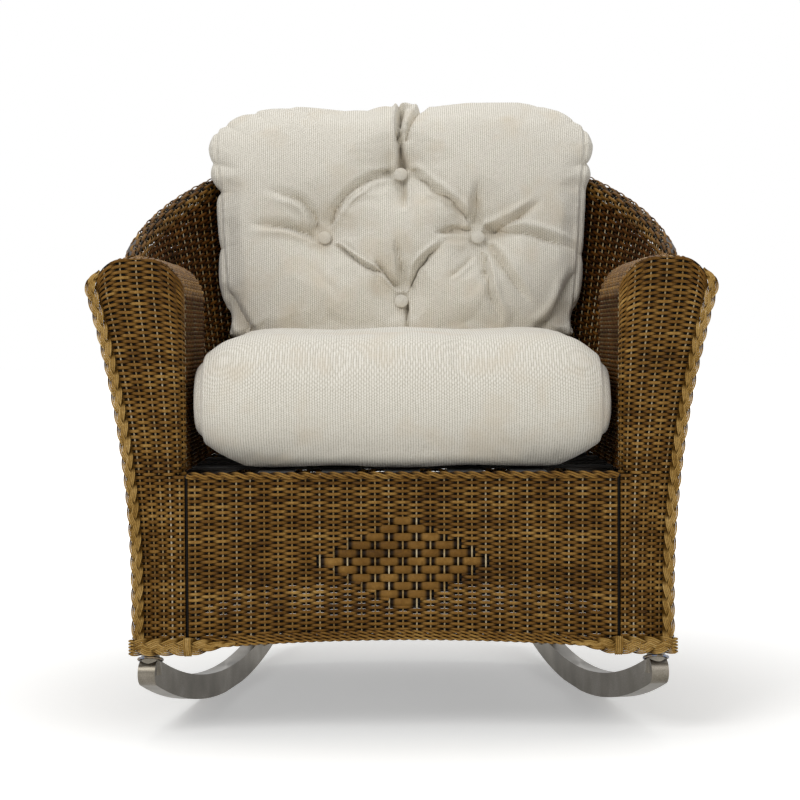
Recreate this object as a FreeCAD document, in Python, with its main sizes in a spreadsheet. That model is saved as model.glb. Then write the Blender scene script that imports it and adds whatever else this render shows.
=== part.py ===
"""Low, wide rocking lounge chair: a woven tub on a tubular frame, two flat bar runners,
a loose seat cushion and a loose tufted back cushion.

Seen from the front, +X is the right side, Y runs to the back and Z is up. The origin is on the floor under
the middle of the chair, which faces -Y. The right half is drawn and the left half mirrors it.
"""
import FreeCAD, Part
import math
import os
from FreeCAD import Placement, Rotation, Vector

doc = FreeCAD.newDocument("rocking_lounge_chair")

SIZES = [
    ("overall_width", 890, "across the braids at the arm tops"),
    ("overall_depth", 935, "front of the seat cushion to the back of the rim"),
    ("cushion_bulge", 32, "seat cushion proud of the apron"),
    ("weave_thickness", 7, "stake and weft together"),
    ("skin_gap", 0.5, "between a woven skin and the frame it wraps"),
    ("rest_gap", 0.3, "between a soft piece and what carries it"),
    ("rim_clearance", 2, "between the upper edge of a woven skin and the rim tube"),
    ("side_clearance", 1.5, "between the outer arm skin and the front post"),
    ("skirt_bottom_height", 135, "lower edge of the side and back weave"),
    ("apron_bottom_height", 139, "middle of the arched lower edge"),
    ("apron_corner_height", 126, "ends of the arched lower edge"),
    ("apron_top_height", 371, "upper edge of the apron"),
    ("post_foot_height", 118, "lower end of the posts and of the arm fronts"),
    ("lower_rail_height", 158, "middle of the lower rails"),
    ("seat_opening_width", 608, "between the inner arm skins"),
    ("foot_width", 767, "across the braids at the arm feet"),
    ("arm_crest_height", 678, "top of the arms"),
    ("arm_shoulder_radius", 40, "outer rounding of the arm top"),
    ("arm_inner_radius", 56, "inner rounding of the arm top"),
    ("arm_flare_start_height", 195, "the arm's outer edge is upright below this"),
    ("arm_corner_radius", 28, "upright rounding from arm front to arm inside"),
    ("arm_length", 420, "arm front to the start of the back rim"),
    ("arm_blend_length", 130, "last stretch, where the arm top runs out into the rim"),
    ("rail_end_half_span", 405, "middle of the chair to the rear end of the arm rail"),
    ("rail_end_setback", 54, "rear end of the arm rail to the end of the arm"),
    ("rail_end_height", 652, "middle of the arm rail at its rear end"),
    ("edge_braid_width", 17, "braid down the outer edge of the arm"),
    ("edge_braid_proud", 2, "middle of the edge braid in front of the weave"),
    ("foot_braid_height", 25, "braid under the arm front"),
    ("foot_braid_depth", 15, "braid under the arm front"),
    ("foot_braid_tail", 50, "tapered end of the foot braid"),
    ("foot_braid_reach", 72, "foot braid past the inner arm skin, tail included"),
    ("base_half_width", 350, "woven base at the end of the arms"),
    ("base_rear_reach", 280, "end of the arms to the back of the base"),
    ("rim_half_width", 432, "back rim at the end of the arms"),
    ("rim_side_height", 684, "rim at the end of the arms"),
    ("rim_top_height", 917, "rim at the middle of the back"),
    ("rim_tube_width", 19, "tube of the rim, the back uprights and the rear bow"),
    ("frame_tube_width", 25.4, "posts and rails"),
    ("tube_wall", 2, "wall of every tube"),
    ("front_post_half_span", 358, "middle of the chair to the front post"),
    ("rear_post_setback", 604, "front post to rear post"),
    ("rear_post_half_span", 249, "middle of the chair to the rear post"),
    ("runner_radius", 1200, "rolling radius of the runners"),
    ("runner_height", 37, "depth of the flat bar"),
    ("runner_width", 25, "thickness of the flat bar"),
    ("runner_nose_reach", 425, "rest point to the nose, along the runner"),
    ("runner_tail_reach", 420, "rest point to the tail, along the runner"),
    ("rest_flat_length", 100, "flat under the rest point that holds the chair level"),
    ("stub_foot_width", 33, "leg stub where it meets the runner"),
    ("webbing_width", 50, "seat strap"),
    ("webbing_thickness", 3, "seat strap"),
    ("webbing_lap", 8, "strap past the middle of its rail"),
    ("seat_cushion_width", 597, "across the side bulges"),
    ("seat_cushion_height", 195, "at the crown"),
    ("seat_cushion_depth", 730, "front to back in the middle"),
    ("back_cushion_width", 650, "at the widest"),
    ("back_cushion_height", 418, "along the back"),
    ("back_cushion_thickness", 180, "at the crown"),
    ("back_cushion_setback", 595, "front of the seat cushion to the front of the back cushion"),
    ("cover_thickness", 4, "fabric with its wadding"),
    ("button_width", 22, "covered button"),
    ("button_height", 8, "covered button"),
    ("tuft_depth", 18, "how far a button pulls the cover in"),
    ("tuft_width", 110, "width of the hollow round a button"),
    ("twine_width", 2, "tufting twine"),
    ("twine_clearance", 0.3, "round the twine in the core and the cover"),
    ("button_spread", 262, "left button to right button"),
    ("button_rise", 225, "lowest button to highest button"),
    ("lowest_button_height", 64, "foot of the back cushion to the lowest button"),
]

# Shares of the sizes above, chosen by eye.
QUARTER_SHARE = math.sqrt(0.5)
BASE_PLAN_POWER = 2.6
SKIN_ANGLES = (0, 12, 24, 36, 48, 60)
REAR_ANGLES = (60, 70, 80, 90, 100, 110, 120)
BLEND_STEP_SHARES = (0, 0.2, 0.4, 0.6, 0.8, 1)
LEAD_MIDDLE_SHARES = (0.5, 0.75)
BRAID_END_ANGLE = 42
BRAID_TIP_SHARE = 0.35
LENGTHWISE_STRAP_SHARES = (-0.72, -0.36, 0, 0.36, 0.72)
CROSSWISE_STRAP_SHARES = (0.14, 0.31, 0.48, 0.65, 0.82)
# x of the section, its height, how far its front and rear edges draw in, as shares
SEAT_SECTION_SHARES = (
    (-1.0, 0.40, 0.30, 0.62),
    (-0.94, 0.74, 0.13, 0.42),
    (-0.83, 0.92, 0.05, 0.22),
    (-0.55, 0.98, 0.01, 0.06),
    (0, 1.0, 0, 0),
    (0.55, 0.98, 0.01, 0.06),
    (0.83, 0.92, 0.05, 0.22),
    (0.94, 0.74, 0.13, 0.42),
    (1.0, 0.40, 0.30, 0.62),
)
# height of the section, its width and thickness, as shares
BACK_SECTION_SHARES = (
    (0, 0.93, 0.78),
    (0.17, 0.95, 0.94),
    (0.45, 0.985, 1.0),
    (0.65, 1.0, 0.97),
    (0.8, 0.99, 0.85),
    (0.89, 0.94, 0.68),
    (0.965, 0.84, 0.42),
    (1.0, 0.75, 0.20),
)
SEAT_NOSE_SHARE = 0.46
SEAT_FOOT_SHARE = 0.36
SEAT_BROW_SHARE = 0.62
SEAT_REAR_SHARE = 0.22
SEAT_EDGE_SHARE = 0.05
SEAT_REST_SHARE = 0.94
BACK_SEAM_SHARE = 0.95
BACK_BOXING_SHARE = 0.30
BACK_BOXING_PLACE_SHARE = 0.36
BUTTON_DOME_SHARE = 0.45
UPRIGHT_ANGLE = 72

sheet = doc.addObject("Spreadsheet::Sheet", "Sizes")
for row, (name, value, note) in enumerate(SIZES, start=1):
    sheet.set(f"A{row}", name)
    sheet.set(f"B{row}", str(value))
    sheet.set(f"C{row}", note)
    sheet.setAlias(f"B{row}", name)
doc.recompute()

ORIGIN = Vector(0, 0, 0)
RIGHT = Vector(1, 0, 0)
BACK = Vector(0, 1, 0)
UP = Vector(0, 0, 1)
nodes = {}


def size(name):
    """A driving size from the sheet, in millimetres."""
    return float(getattr(sheet, name))


# Places worked out from the driving sizes.
skin = size("weave_thickness")
gap = size("skin_gap")
tube_radius = size("frame_tube_width") / 2
rim_radius = size("rim_tube_width") / 2
front_y = size("cushion_bulge") - size("overall_depth") / 2
skin_back_y = front_y + skin
opening_half = size("seat_opening_width") / 2
foot_half = size("foot_width") / 2 - size("edge_braid_width")
widest_half = size("overall_width") / 2 - size("edge_braid_width")
arm_end_y = front_y + size("arm_length")
post_x = size("front_post_half_span")
post_y = skin_back_y + gap + tube_radius
post_foot_z = size("post_foot_height")
rear_post_x = size("rear_post_half_span")
rear_post_y = post_y + size("rear_post_setback")
seat_rail_z = size("apron_top_height") - tube_radius
strap_z = size("apron_top_height")
seat_base_z = strap_z + 2 * size("webbing_thickness") + size("rest_gap")
seat_front_y = -size("overall_depth") / 2
rim_rear_reach = size("overall_depth") / 2 - rim_radius - arm_end_y
rim_rise = size("rim_top_height") - rim_radius - size("rim_side_height")
back_rise = size("rim_side_height") + rim_rise - size("skirt_bottom_height")
back_lean = math.atan2(rim_rear_reach - size("base_rear_reach"), back_rise)


def feature(name, shape):
    """A shape that the primitives below can't make, as an object of the document."""
    item = doc.addObject("Part::Feature", name)
    item.Shape = shape
    return item


def node(name, item):
    """Names the finished sub-part."""
    item.Label = name
    nodes[name] = item
    return item


def pair(name, item):
    """Names the right-hand sub-part and adds its mirror image on the left."""
    node(name + "_right", item)
    twin = doc.addObject("Part::Mirroring", name + "_left")
    twin.Source = item
    twin.Base = ORIGIN
    twin.Normal = RIGHT
    return node(name + "_left", twin)


def cut(base, tool):
    """Base with tool taken away."""
    item = doc.addObject("Part::Cut", base.Name + "_cut")
    item.Base = base
    item.Tool = tool
    return item


def fuse(name, items):
    """One solid from several."""
    item = doc.addObject("Part::MultiFuse", name)
    item.Shapes = items
    return item


def cylinder(name, radius, height, placement):
    """A cylinder whose radius and height are expressions."""
    item = doc.addObject("Part::Cylinder", name)
    item.setExpression("Radius", radius)
    item.setExpression("Height", height)
    item.Placement = placement
    return item


def straight_tube(name, start, end, width="frame_tube_width"):
    """(the tube as a solid bar, the hollow tube), from start to end."""
    run = end - start
    place = Placement(start, Rotation(UP, run))
    bar = cylinder(name + "_bar", f"Sizes.{width} / 2", str(run.Length), place)
    bore = cylinder(name + "_bore", f"Sizes.{width} / 2 - Sizes.tube_wall", str(run.Length), place)
    return bar, cut(bar, bore)


def quarter(upright_end, level_end):
    """A rounding that is upright at its first end and level at its second."""
    middle = Vector(
        upright_end.x + (level_end.x - upright_end.x) * (1 - QUARTER_SHARE),
        upright_end.y + (level_end.y - upright_end.y) * (1 - QUARTER_SHARE),
        upright_end.z + (level_end.z - upright_end.z) * QUARTER_SHARE,
    )
    return Part.Arc(upright_end, middle, level_end).toShape()


def line(start, end):
    """A straight edge."""
    return Part.makeLine(start, end)


def loft(wires, ruled=False):
    """A solid through closed wires."""
    return Part.makeLoft(wires, True, ruled)


def mix(first, last, share):
    """The point or number a share of the way from first to last."""
    return first + (last - first) * share


# Runners: flat bar rolled to one radius, half-round ends, and a short flat under the rest point.
runner_radius = size("runner_radius")
runner_height = size("runner_height")
rest_flat_half = size("rest_flat_length") / 2
axle_z = math.sqrt(runner_radius**2 - rest_flat_half**2)
nose_angle = size("runner_nose_reach") / runner_radius
tail_angle = size("runner_tail_reach") / runner_radius
toe_in = math.atan2(post_x - rear_post_x, rear_post_y - post_y)
nose_tip = (runner_radius - runner_height / 2) * math.sin(nose_angle) + runner_height / 2 * math.cos(nose_angle)
rest_y = front_y + nose_tip * math.cos(toe_in)
rest_x = post_x - (rest_y - post_y) * math.tan(toe_in)
runner_place = Placement(Vector(rest_x, rest_y, 0), Rotation(UP, math.degrees(toe_in)))


def runner_turned(angle, sink=0):
    """The placement at an angle round the runner's axle, 0 at the rest point and positive to the back."""
    outward = Vector(0, math.sin(angle), -math.cos(angle))
    turn = Rotation(outward, RIGHT.cross(outward), RIGHT, "ZXY")
    base = Vector(-size("runner_width") / 2, 0, axle_z) + outward * sink
    return runner_place.multiply(Placement(base, turn))


def runner():
    """The right-hand runner."""
    sweep = "(Sizes.runner_nose_reach + Sizes.runner_tail_reach) / Sizes.runner_radius * 180 / pi"
    start = runner_turned(-nose_angle)
    disc = cylinder("runner_disc", "Sizes.runner_radius", "Sizes.runner_width", start)
    disc.setExpression("Angle", sweep)
    hollow = cylinder("runner_hollow", "Sizes.runner_radius - Sizes.runner_height", "Sizes.runner_width", start)
    hollow.setExpression("Angle", sweep)
    ends = []
    for name, angle in (("nose", -nose_angle), ("tail", tail_angle)):
        place = runner_turned(angle, runner_radius - runner_height / 2)
        ends.append(cylinder("runner_" + name, "Sizes.runner_height / 2", "Sizes.runner_width", place))
    bar = fuse("runner_bar", [cut(disc, hollow)] + ends)
    floor = doc.addObject("Part::Box", "runner_floor")
    floor.setExpression("Length", "Sizes.runner_width * 2")
    floor.setExpression("Width", "Sizes.rest_flat_length * 2")
    floor.setExpression("Height", "Sizes.runner_height")
    corner = Vector(-size("runner_width"), -size("rest_flat_length"), -runner_height)
    floor.Placement = runner_place.multiply(Placement(corner, Rotation()))
    return cut(bar, floor)


def leg_stub(name, x, y, runner_bar):
    """A turned stub from the runner up to a post, wider where it is welded to the runner."""
    along = (y - rest_y) / math.cos(toe_in)
    foot_z = axle_z - math.sqrt(runner_radius**2 - along**2) + runner_height / 2
    stub = doc.addObject("Part::Cone", name)
    stub.setExpression("Radius1", "Sizes.stub_foot_width / 2")
    stub.setExpression("Radius2", "Sizes.frame_tube_width / 2")
    stub.Height = post_foot_z - foot_z
    stub.Placement = Placement(Vector(x, y, foot_z), Rotation())
    return cut(stub, runner_bar)


right_runner = runner()
pair("runner", right_runner)
pair("front_leg_stub", leg_stub("front_stub", post_x, post_y, right_runner))
pair("rear_leg_stub", leg_stub("rear_stub", rear_post_x, rear_post_y, right_runner))


# The plan of the tub: a squarish curve at the base, an ellipse at the rim, both from the ends of the arms.
def signed_power(value, power):
    """A power that keeps the sign of its base."""
    return math.copysign(abs(value) ** power, value)


def base_point(degrees):
    """A point of the base's plan: 0 at the right arm's end, 90 at the middle of the back."""
    turn = math.radians(degrees)
    power = 2 / BASE_PLAN_POWER
    x = size("base_half_width") * signed_power(math.cos(turn), power)
    y = arm_end_y + size("base_rear_reach") * signed_power(math.sin(turn), power)
    return Vector(x, y, size("skirt_bottom_height"))


def rim_point(degrees):
    """A point of the rim, which lies in one sloping plane."""
    turn = math.radians(degrees)
    x = size("rim_half_width") * math.cos(turn)
    y = arm_end_y + rim_rear_reach * math.sin(turn)
    z = size("rim_side_height") + rim_rise * math.sin(turn)
    return Vector(x, y, z)


def rim_along(degrees):
    """The direction of the rim."""
    turn = math.radians(degrees)
    way = Vector(-size("rim_half_width") * math.sin(turn), rim_rear_reach * math.cos(turn), rim_rise * math.cos(turn))
    return way.normalize()


def inward(degrees):
    """The level direction into the tub."""
    turn = math.radians(degrees)
    way = Vector(-math.cos(turn) / size("rim_half_width"), -math.sin(turn) / rim_rear_reach, 0)
    return way.normalize()


def skin_point(degrees, height):
    """A point of the outer skin at a height, on the straight stake from base to rim."""
    low = base_point(degrees)
    high = rim_point(degrees)
    return mix(low, high, (height - low.z) / (high.z - low.z))


def skin_top(degrees):
    """The upper edge of the outer skin, just clear of the rim tube."""
    high = rim_point(degrees)
    stake = (high - base_point(degrees)).normalize()
    return high - stake * ((rim_radius + size("rim_clearance")) / rim_along(degrees).cross(stake).Length)


def rim_loft(rings, radius):
    """A round bar through (place, direction) rings."""
    return loft([Part.Wire(Part.Circle(place, along, radius).toShape()) for place, along in rings])


def rim_run(name, rings):
    """A stretch of the rim tube through (place, direction) rings, as (solid bar, hollow tube)."""
    bar = feature(name + "_bar", rim_loft(rings, rim_radius))
    bore = feature(name + "_bore", rim_loft(rings, rim_radius - size("tube_wall")))
    return bar, cut(bar, bore)


# The rim tube runs on inside each arm and is joined to the end of the arm rail.
arm_rail_z = size("arm_crest_height") - skin - gap - tube_radius
rail_end = Vector(size("rail_end_half_span"), arm_end_y - size("rail_end_setback"), size("rail_end_height"))
rail_slant = math.atan2(rail_end.x - post_x, rail_end.y - skin_back_y)
rail_front = Vector(post_x, skin_back_y + gap + tube_radius * math.sin(rail_slant), arm_rail_z)
rail_along = (rail_end - rail_front).normalize()
rim_start = rim_point(0)
third = (rim_start - rail_end).Length / 3
lead_out = rail_end + rail_along * third
lead_in = rim_start - rim_along(0) * third
half_way, pull = LEAD_MIDDLE_SHARES
lead_middle = mix(mix(rail_end, rim_start, half_way), mix(lead_out, lead_in, half_way), pull)
lead_along = (rim_start + lead_in - lead_out - rail_end).normalize()
side_rings = [(rail_end, rail_along), (lead_middle, lead_along)]
side_rings += [(rim_point(degrees), rim_along(degrees)) for degrees in SKIN_ANGLES]
side_rim_bar, side_rim = rim_run("rim_side", side_rings)
pair("rim_tube", side_rim)
top_rim_bar, top_rim = rim_run("rim_top", [(rim_point(degrees), rim_along(degrees)) for degrees in REAR_ANGLES])
node("rim_tube_top", top_rim)


# Frame: posts, rails, the rear bow and the two uprights that carry the rim.
rail_bar, arm_rail = straight_tube("arm_rail", rail_front, rail_end)
arm_rail = cut(arm_rail, side_rim_bar)
post_bar, front_post = straight_tube(
    "front_post", Vector(post_x, post_y, post_foot_z), Vector(post_x, post_y, arm_rail_z)
)
rear_bar, rear_post = straight_tube(
    "rear_post", Vector(rear_post_x, rear_post_y, post_foot_z), Vector(rear_post_x, rear_post_y, strap_z)
)
pair("arm_rail", arm_rail)
pair("front_post", cut(front_post, rail_bar))
pair("rear_post", rear_post)


def mirrored_bar(bar, name):
    """The left-hand twin of a bar, used only to shape the end of a rail."""
    twin = doc.addObject("Part::Mirroring", name)
    twin.Source = bar
    twin.Base = ORIGIN
    twin.Normal = RIGHT
    return twin


left_post_bar = mirrored_bar(post_bar, "left_post_bar")
left_rear_bar = mirrored_bar(rear_bar, "left_rear_bar")
seat_rear_bar, seat_rear = straight_tube(
    "seat_rear", Vector(-rear_post_x, rear_post_y, seat_rail_z), Vector(rear_post_x, rear_post_y, seat_rail_z)
)
node("seat_rear_rail", cut(cut(seat_rear, rear_bar), left_rear_bar))
for level, height in (("seat", seat_rail_z), ("lower", size("lower_rail_height"))):
    front = Vector(post_x, post_y, height)
    rear = Vector(rear_post_x, rear_post_y, height)
    cross_bar, cross = straight_tube(level + "_front", Vector(-post_x, post_y, height), front)
    node(level + "_front_rail", cut(cut(cross, post_bar), left_post_bar))
    side = straight_tube(level + "_side", front, rear)[1]
    for neighbour in (post_bar, rear_bar, cross_bar, seat_rear_bar):
        side = cut(side, neighbour)
    pair(level + "_side_rail", side)

bow_height = size("lower_rail_height")
bow_back_y = skin_point(90, bow_height).y - skin - gap - rim_radius


def bow(name, radius):
    """The bar that bulges back between the rear posts under the skirt."""
    start = Vector(-rear_post_x, rear_post_y, bow_height)
    arc = Part.Arc(start, Vector(0, bow_back_y, bow_height), Vector(rear_post_x, rear_post_y, bow_height))
    path = Part.Wire(arc.toShape())
    along = arc.tangent(arc.FirstParameter)[0]
    ring = Part.Wire(Part.Circle(start, along, radius).toShape())
    return feature(name, path.makePipeShell([ring], True, False))


bow_bar = bow("bow_bar", rim_radius)
bow_tube = cut(bow_bar, bow("bow_bore", rim_radius - size("tube_wall")))
node("rear_bow", cut(cut(bow_tube, rear_bar), left_rear_bar))

upright_set_in = skin + gap + rim_radius
upright_low = skin_point(UPRIGHT_ANGLE, bow_height) + inward(UPRIGHT_ANGLE) * upright_set_in
upright_high = rim_point(UPRIGHT_ANGLE) + inward(UPRIGHT_ANGLE) * upright_set_in
upright = straight_tube("back_upright", upright_low, upright_high, "rim_tube_width")[1]
pair("back_upright", cut(cut(upright, bow_bar), top_rim_bar))


# Woven skins: thin shells with the outer shape of the weave.
def arm_outline(growth=0, end_angle=90):
    """The arm seen from the front, as corner and middle points: inside its braid, or grown outwards."""
    shoulder = size("arm_shoulder_radius") + growth
    crest_z = size("arm_crest_height")
    centre = Vector(widest_half - size("arm_shoulder_radius"), 0, crest_z - size("arm_shoulder_radius"))
    foot_x = foot_half + growth
    start_z = size("arm_flare_start_height")
    across = centre.x - foot_x
    rise = centre.z - start_z
    flare = (across**2 + rise**2 - shoulder**2) / (2 * (across + shoulder))
    flare_centre = Vector(foot_x + flare, 0, start_z)
    toward = (flare_centre - centre).normalize()
    meet = centre + toward * shoulder
    flare_turn = math.asin((meet.z - start_z) / flare) / 2
    end_turn = math.radians(end_angle)
    shoulder_turn = (end_turn + math.atan2(toward.z, toward.x)) / 2
    return {
        "foot": Vector(foot_x, 0, post_foot_z),
        "flare_start": Vector(foot_x, 0, start_z),
        "flare_middle": flare_centre + Vector(-math.cos(flare_turn), 0, math.sin(flare_turn)) * flare,
        "meet": meet,
        "shoulder_middle": centre + Vector(math.cos(shoulder_turn), 0, math.sin(shoulder_turn)) * shoulder,
        "top_out": centre + Vector(math.cos(end_turn), 0, math.sin(end_turn)) * shoulder,
        "top_in": Vector(opening_half + size("arm_inner_radius"), 0, crest_z),
        "side_in": Vector(opening_half, 0, crest_z - size("arm_inner_radius")),
        "foot_in": Vector(opening_half, 0, post_foot_z),
    }


def arm_front_plate(depth):
    """A flat plate with the arm's front outline."""
    place = {name: point + BACK * front_y for name, point in arm_outline().items()}
    edges = [
        line(place["foot_in"], place["foot"]),
        line(place["foot"], place["flare_start"]),
        Part.Arc(place["flare_start"], place["flare_middle"], place["meet"]).toShape(),
        Part.Arc(place["meet"], place["shoulder_middle"], place["top_out"]).toShape(),
        line(place["top_out"], place["top_in"]),
        quarter(place["side_in"], place["top_in"]),
        line(place["side_in"], place["foot_in"]),
    ]
    return Part.Face(Part.Wire(edges)).extrude(BACK * depth)


def arm_top_section(y, outer, top_out, top_in, inner):
    """A closed strip over the arm top: outer edge, crest and inner edge, with the weave's thickness."""
    over = [Vector(point.x, y, point.z) for point in (outer, top_out, top_in, inner)]
    under = [over[0] - RIGHT * skin, over[1] - UP * skin, over[2] - UP * skin, over[3] + RIGHT * skin]
    edges = [
        quarter(over[0], over[1]),
        line(over[1], over[2]),
        quarter(over[3], over[2]),
        line(over[3], under[3]),
        quarter(under[3], under[2]),
        line(under[2], under[1]),
        quarter(under[0], under[1]),
        line(under[0], over[0]),
    ]
    return Part.Wire(edges)


outline = arm_outline()
blend_y = arm_end_y - size("arm_blend_length")
outer_end = skin_top(0)
inner_end = outer_end + inward(0) * (2 * skin + gap)
crest_end_z = rim_start.z + rim_radius + gap + skin / 2


def arm_edges(share):
    """The four points over the arm top at a share of the way from the arm's shape to the rim's."""
    return (
        mix(outline["meet"], outer_end, share),
        mix(outline["top_out"], Vector(outer_end.x - skin / 2, 0, crest_end_z), share),
        mix(outline["top_in"], Vector(inner_end.x + skin / 2, 0, crest_end_z), share),
        mix(outline["side_in"], inner_end, share),
    )


# (y, share of the way to the rim's shape) along the arm's last stretch
blend_stations = []
for step in BLEND_STEP_SHARES:
    blend_stations.append((blend_y + size("arm_blend_length") * step, step**2 * (3 - 2 * step)))
arm_stations = [(skin_back_y, 0)] + blend_stations
inside_stations = [(front_y + size("arm_corner_radius"), 0)] + blend_stations


rim_passage = rim_loft(side_rings, rim_radius + gap)
rim_sleeve = rim_passage.cut(rim_loft(side_rings, rim_radius - size("tube_wall")))


def largest(shape):
    """The largest solid of a shape."""
    return max(shape.Solids, key=lambda piece: piece.Volume)


def clear_of_rim(skin_shape):
    """A skin without the room that the rim tube needs. The second cut takes what the first leaves."""
    return largest(largest(skin_shape.cut(rim_sleeve)).cut(rim_sleeve))


arm_top = loft([arm_top_section(y, *arm_edges(share)) for y, share in arm_stations], True)
pair("arm_top_weave", feature("arm_top", clear_of_rim(arm_top)))


def arm_front():
    """The arm's front skin, rounded towards the seat above the apron."""
    corner = size("arm_corner_radius")
    low = Vector(opening_half, front_y, size("apron_top_height"))
    centre = low + Vector(corner, corner, 0)
    height = size("arm_crest_height") - size("arm_inner_radius") - low.z
    square = Part.makeBox(corner, corner, height, low)
    wall = Part.makeCylinder(corner, height, centre).cut(Part.makeCylinder(corner - skin, height, centre))
    return arm_front_plate(skin).cut(square).fuse(wall.common(square)).removeSplitter()


pair("arm_front_weave", feature("arm_front", arm_front()))


def flat_section(low, high, across):
    """A closed strip between two points, across being the way and distance to its other face."""
    return Part.makePolygon([low, high, high + across, low + across, low])


side_foot_x = post_x + tube_radius + size("side_clearance") + skin


def arm_side_section(y, share):
    """The outer arm skin at a depth: flared at the front, nearly flat at the rim."""
    along = (y - skin_back_y) / (arm_end_y - skin_back_y)
    low = Vector(mix(side_foot_x, base_point(0).x, along), y, size("skirt_bottom_height"))
    front_middle = outline["flare_middle"] + RIGHT * (side_foot_x - foot_half)
    middle_x = mix(front_middle.x, skin_point(0, front_middle.z).x + gap, along)
    edge = arm_edges(share)[0]
    over = [low, Vector(middle_x, y, front_middle.z), Vector(edge.x, y, edge.z)]
    under = [point - RIGHT * skin for point in over]
    edges = [Part.Arc(*over).toShape(), line(over[2], under[2]), Part.Arc(*under).toShape(), line(under[0], over[0])]
    return Part.Wire(edges)


def arm_inside_section(y, share):
    """The inner arm skin at a depth, from the seat up to the inner edge of the arm top."""
    edge = arm_edges(share)[3]
    return flat_section(Vector(opening_half, y, seat_base_z), Vector(edge.x, y, edge.z), RIGHT * skin)


arm_side = loft([arm_side_section(*station) for station in arm_stations], True)
pair("arm_side_weave", feature("arm_side", clear_of_rim(arm_side)))
arm_inside = loft([arm_inside_section(*station) for station in inside_stations], True)
pair("arm_inside_weave", feature("arm_inside", clear_of_rim(arm_inside)))


def outer_section(degrees):
    """The outer skin at a plan angle, from the skirt's edge up to the rim tube."""
    return flat_section(base_point(degrees), skin_top(degrees), inward(degrees) * skin)


def inner_section(degrees):
    """The inner skin of the wing at a plan angle: it leaves the arm's inner face and closes on the outer skin."""
    set_in = 2 * skin + gap
    widest = skin_point(0, seat_base_z).x - opening_half - set_in
    fade = math.cos(math.radians(90 * degrees / SKIN_ANGLES[-1])) ** 2
    low = skin_point(degrees, seat_base_z) + inward(degrees) * (set_in + widest * fade)
    high = skin_top(degrees) + inward(degrees) * set_in
    return flat_section(low, high, inward(degrees) * -skin)


pair("wing_outer_weave", feature("wing_outer", loft([outer_section(turn) for turn in SKIN_ANGLES])))
pair("wing_inner_weave", feature("wing_inner", loft([inner_section(turn) for turn in SKIN_ANGLES])))
node("back_weave", feature("back_skin", loft([outer_section(turn) for turn in REAR_ANGLES])))


def apron():
    """The front skin between the arms, its lower edge gently arched."""
    import Sketcher

    body = doc.addObject("PartDesign::Body", "apron")
    plane = [item for item in body.Origin.OriginFeatures if item.Role == "XZ_Plane"][0]
    sketch = body.newObject("Sketcher::SketchObject", "apron_outline")
    sketch.AttachmentSupport = (plane, [""])
    sketch.MapMode = "FlatFace"
    half = opening_half - gap
    low = size("apron_corner_height")
    top = size("apron_top_height")
    rise = size("apron_bottom_height") - low
    radius = (half**2 + rise**2) / (2 * rise)
    turn = math.asin(half / radius)
    centre = Vector(0, size("apron_bottom_height") - radius, 0)
    circle = Part.Circle(centre, UP, radius)
    arc = sketch.addGeometry(Part.ArcOfCircle(circle, math.pi / 2 - turn, math.pi / 2 + turn))
    right = sketch.addGeometry(Part.LineSegment(Vector(half, low, 0), Vector(half, top, 0)))
    head = sketch.addGeometry(Part.LineSegment(Vector(half, top, 0), Vector(-half, top, 0)))
    left = sketch.addGeometry(Part.LineSegment(Vector(-half, top, 0), Vector(-half, low, 0)))
    sketch.addConstraint(Sketcher.Constraint("Coincident", arc, 1, right, 1))
    sketch.addConstraint(Sketcher.Constraint("Coincident", right, 2, head, 1))
    sketch.addConstraint(Sketcher.Constraint("Coincident", head, 2, left, 1))
    sketch.addConstraint(Sketcher.Constraint("Coincident", left, 2, arc, 2))
    sketch.addConstraint(Sketcher.Constraint("Symmetric", head, 1, head, 2, -2))
    sketch.addConstraint(Sketcher.Constraint("Symmetric", arc, 1, arc, 2, -2))
    bound = (
        ("DistanceX", (head, 2, head, 1), "Sizes.seat_opening_width - 2 * Sizes.skin_gap", 2 * half),
        ("DistanceX", (arc, 2, arc, 1), "Sizes.seat_opening_width - 2 * Sizes.skin_gap", 2 * half),
        ("DistanceY", (-1, 1, head, 1), "Sizes.apron_top_height", top),
        ("DistanceY", (-1, 1, arc, 1), "Sizes.apron_corner_height", low),
    )
    for kind, ends, expression, value in bound:
        index = sketch.addConstraint(Sketcher.Constraint(kind, *ends, value))
        sketch.setExpression(f"Constraints[{index}]", expression)
    index = sketch.addConstraint(Sketcher.Constraint("Radius", arc, radius))
    rise_words = "(Sizes.apron_bottom_height - Sizes.apron_corner_height)"
    half_words = "(Sizes.seat_opening_width / 2 - Sizes.skin_gap)"
    sketch.setExpression(f"Constraints[{index}]", f"({half_words}^2 + {rise_words}^2) / (2 * {rise_words})")
    pad = body.newObject("PartDesign::Pad", "apron_pad")
    pad.Profile = sketch
    pad.setExpression("Length", "Sizes.weave_thickness")
    body.Placement.Base = BACK * skin_back_y
    return body


node("apron_weave", apron())


# Braids: a plait down the outer edge of each arm and a thicker one across its foot.
def edge_braid():
    """The braid's core, a round bar that follows the arm's outer edge up to the shoulder."""
    radius = size("edge_braid_width") / 2
    braid_y = front_y - size("edge_braid_proud")
    place = {name: point + BACK * braid_y for name, point in arm_outline(radius, BRAID_END_ANGLE).items()}
    start = Vector(place["foot"].x, braid_y, post_foot_z + size("foot_braid_height"))
    path = Part.Wire([
        line(start, place["flare_start"]),
        Part.Arc(place["flare_start"], place["flare_middle"], place["meet"]).toShape(),
        Part.Arc(place["meet"], place["shoulder_middle"], place["top_out"]).toShape(),
    ])
    return path.makePipeShell([Part.Wire(Part.Circle(start, UP, radius).toShape())], True, False)


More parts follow.
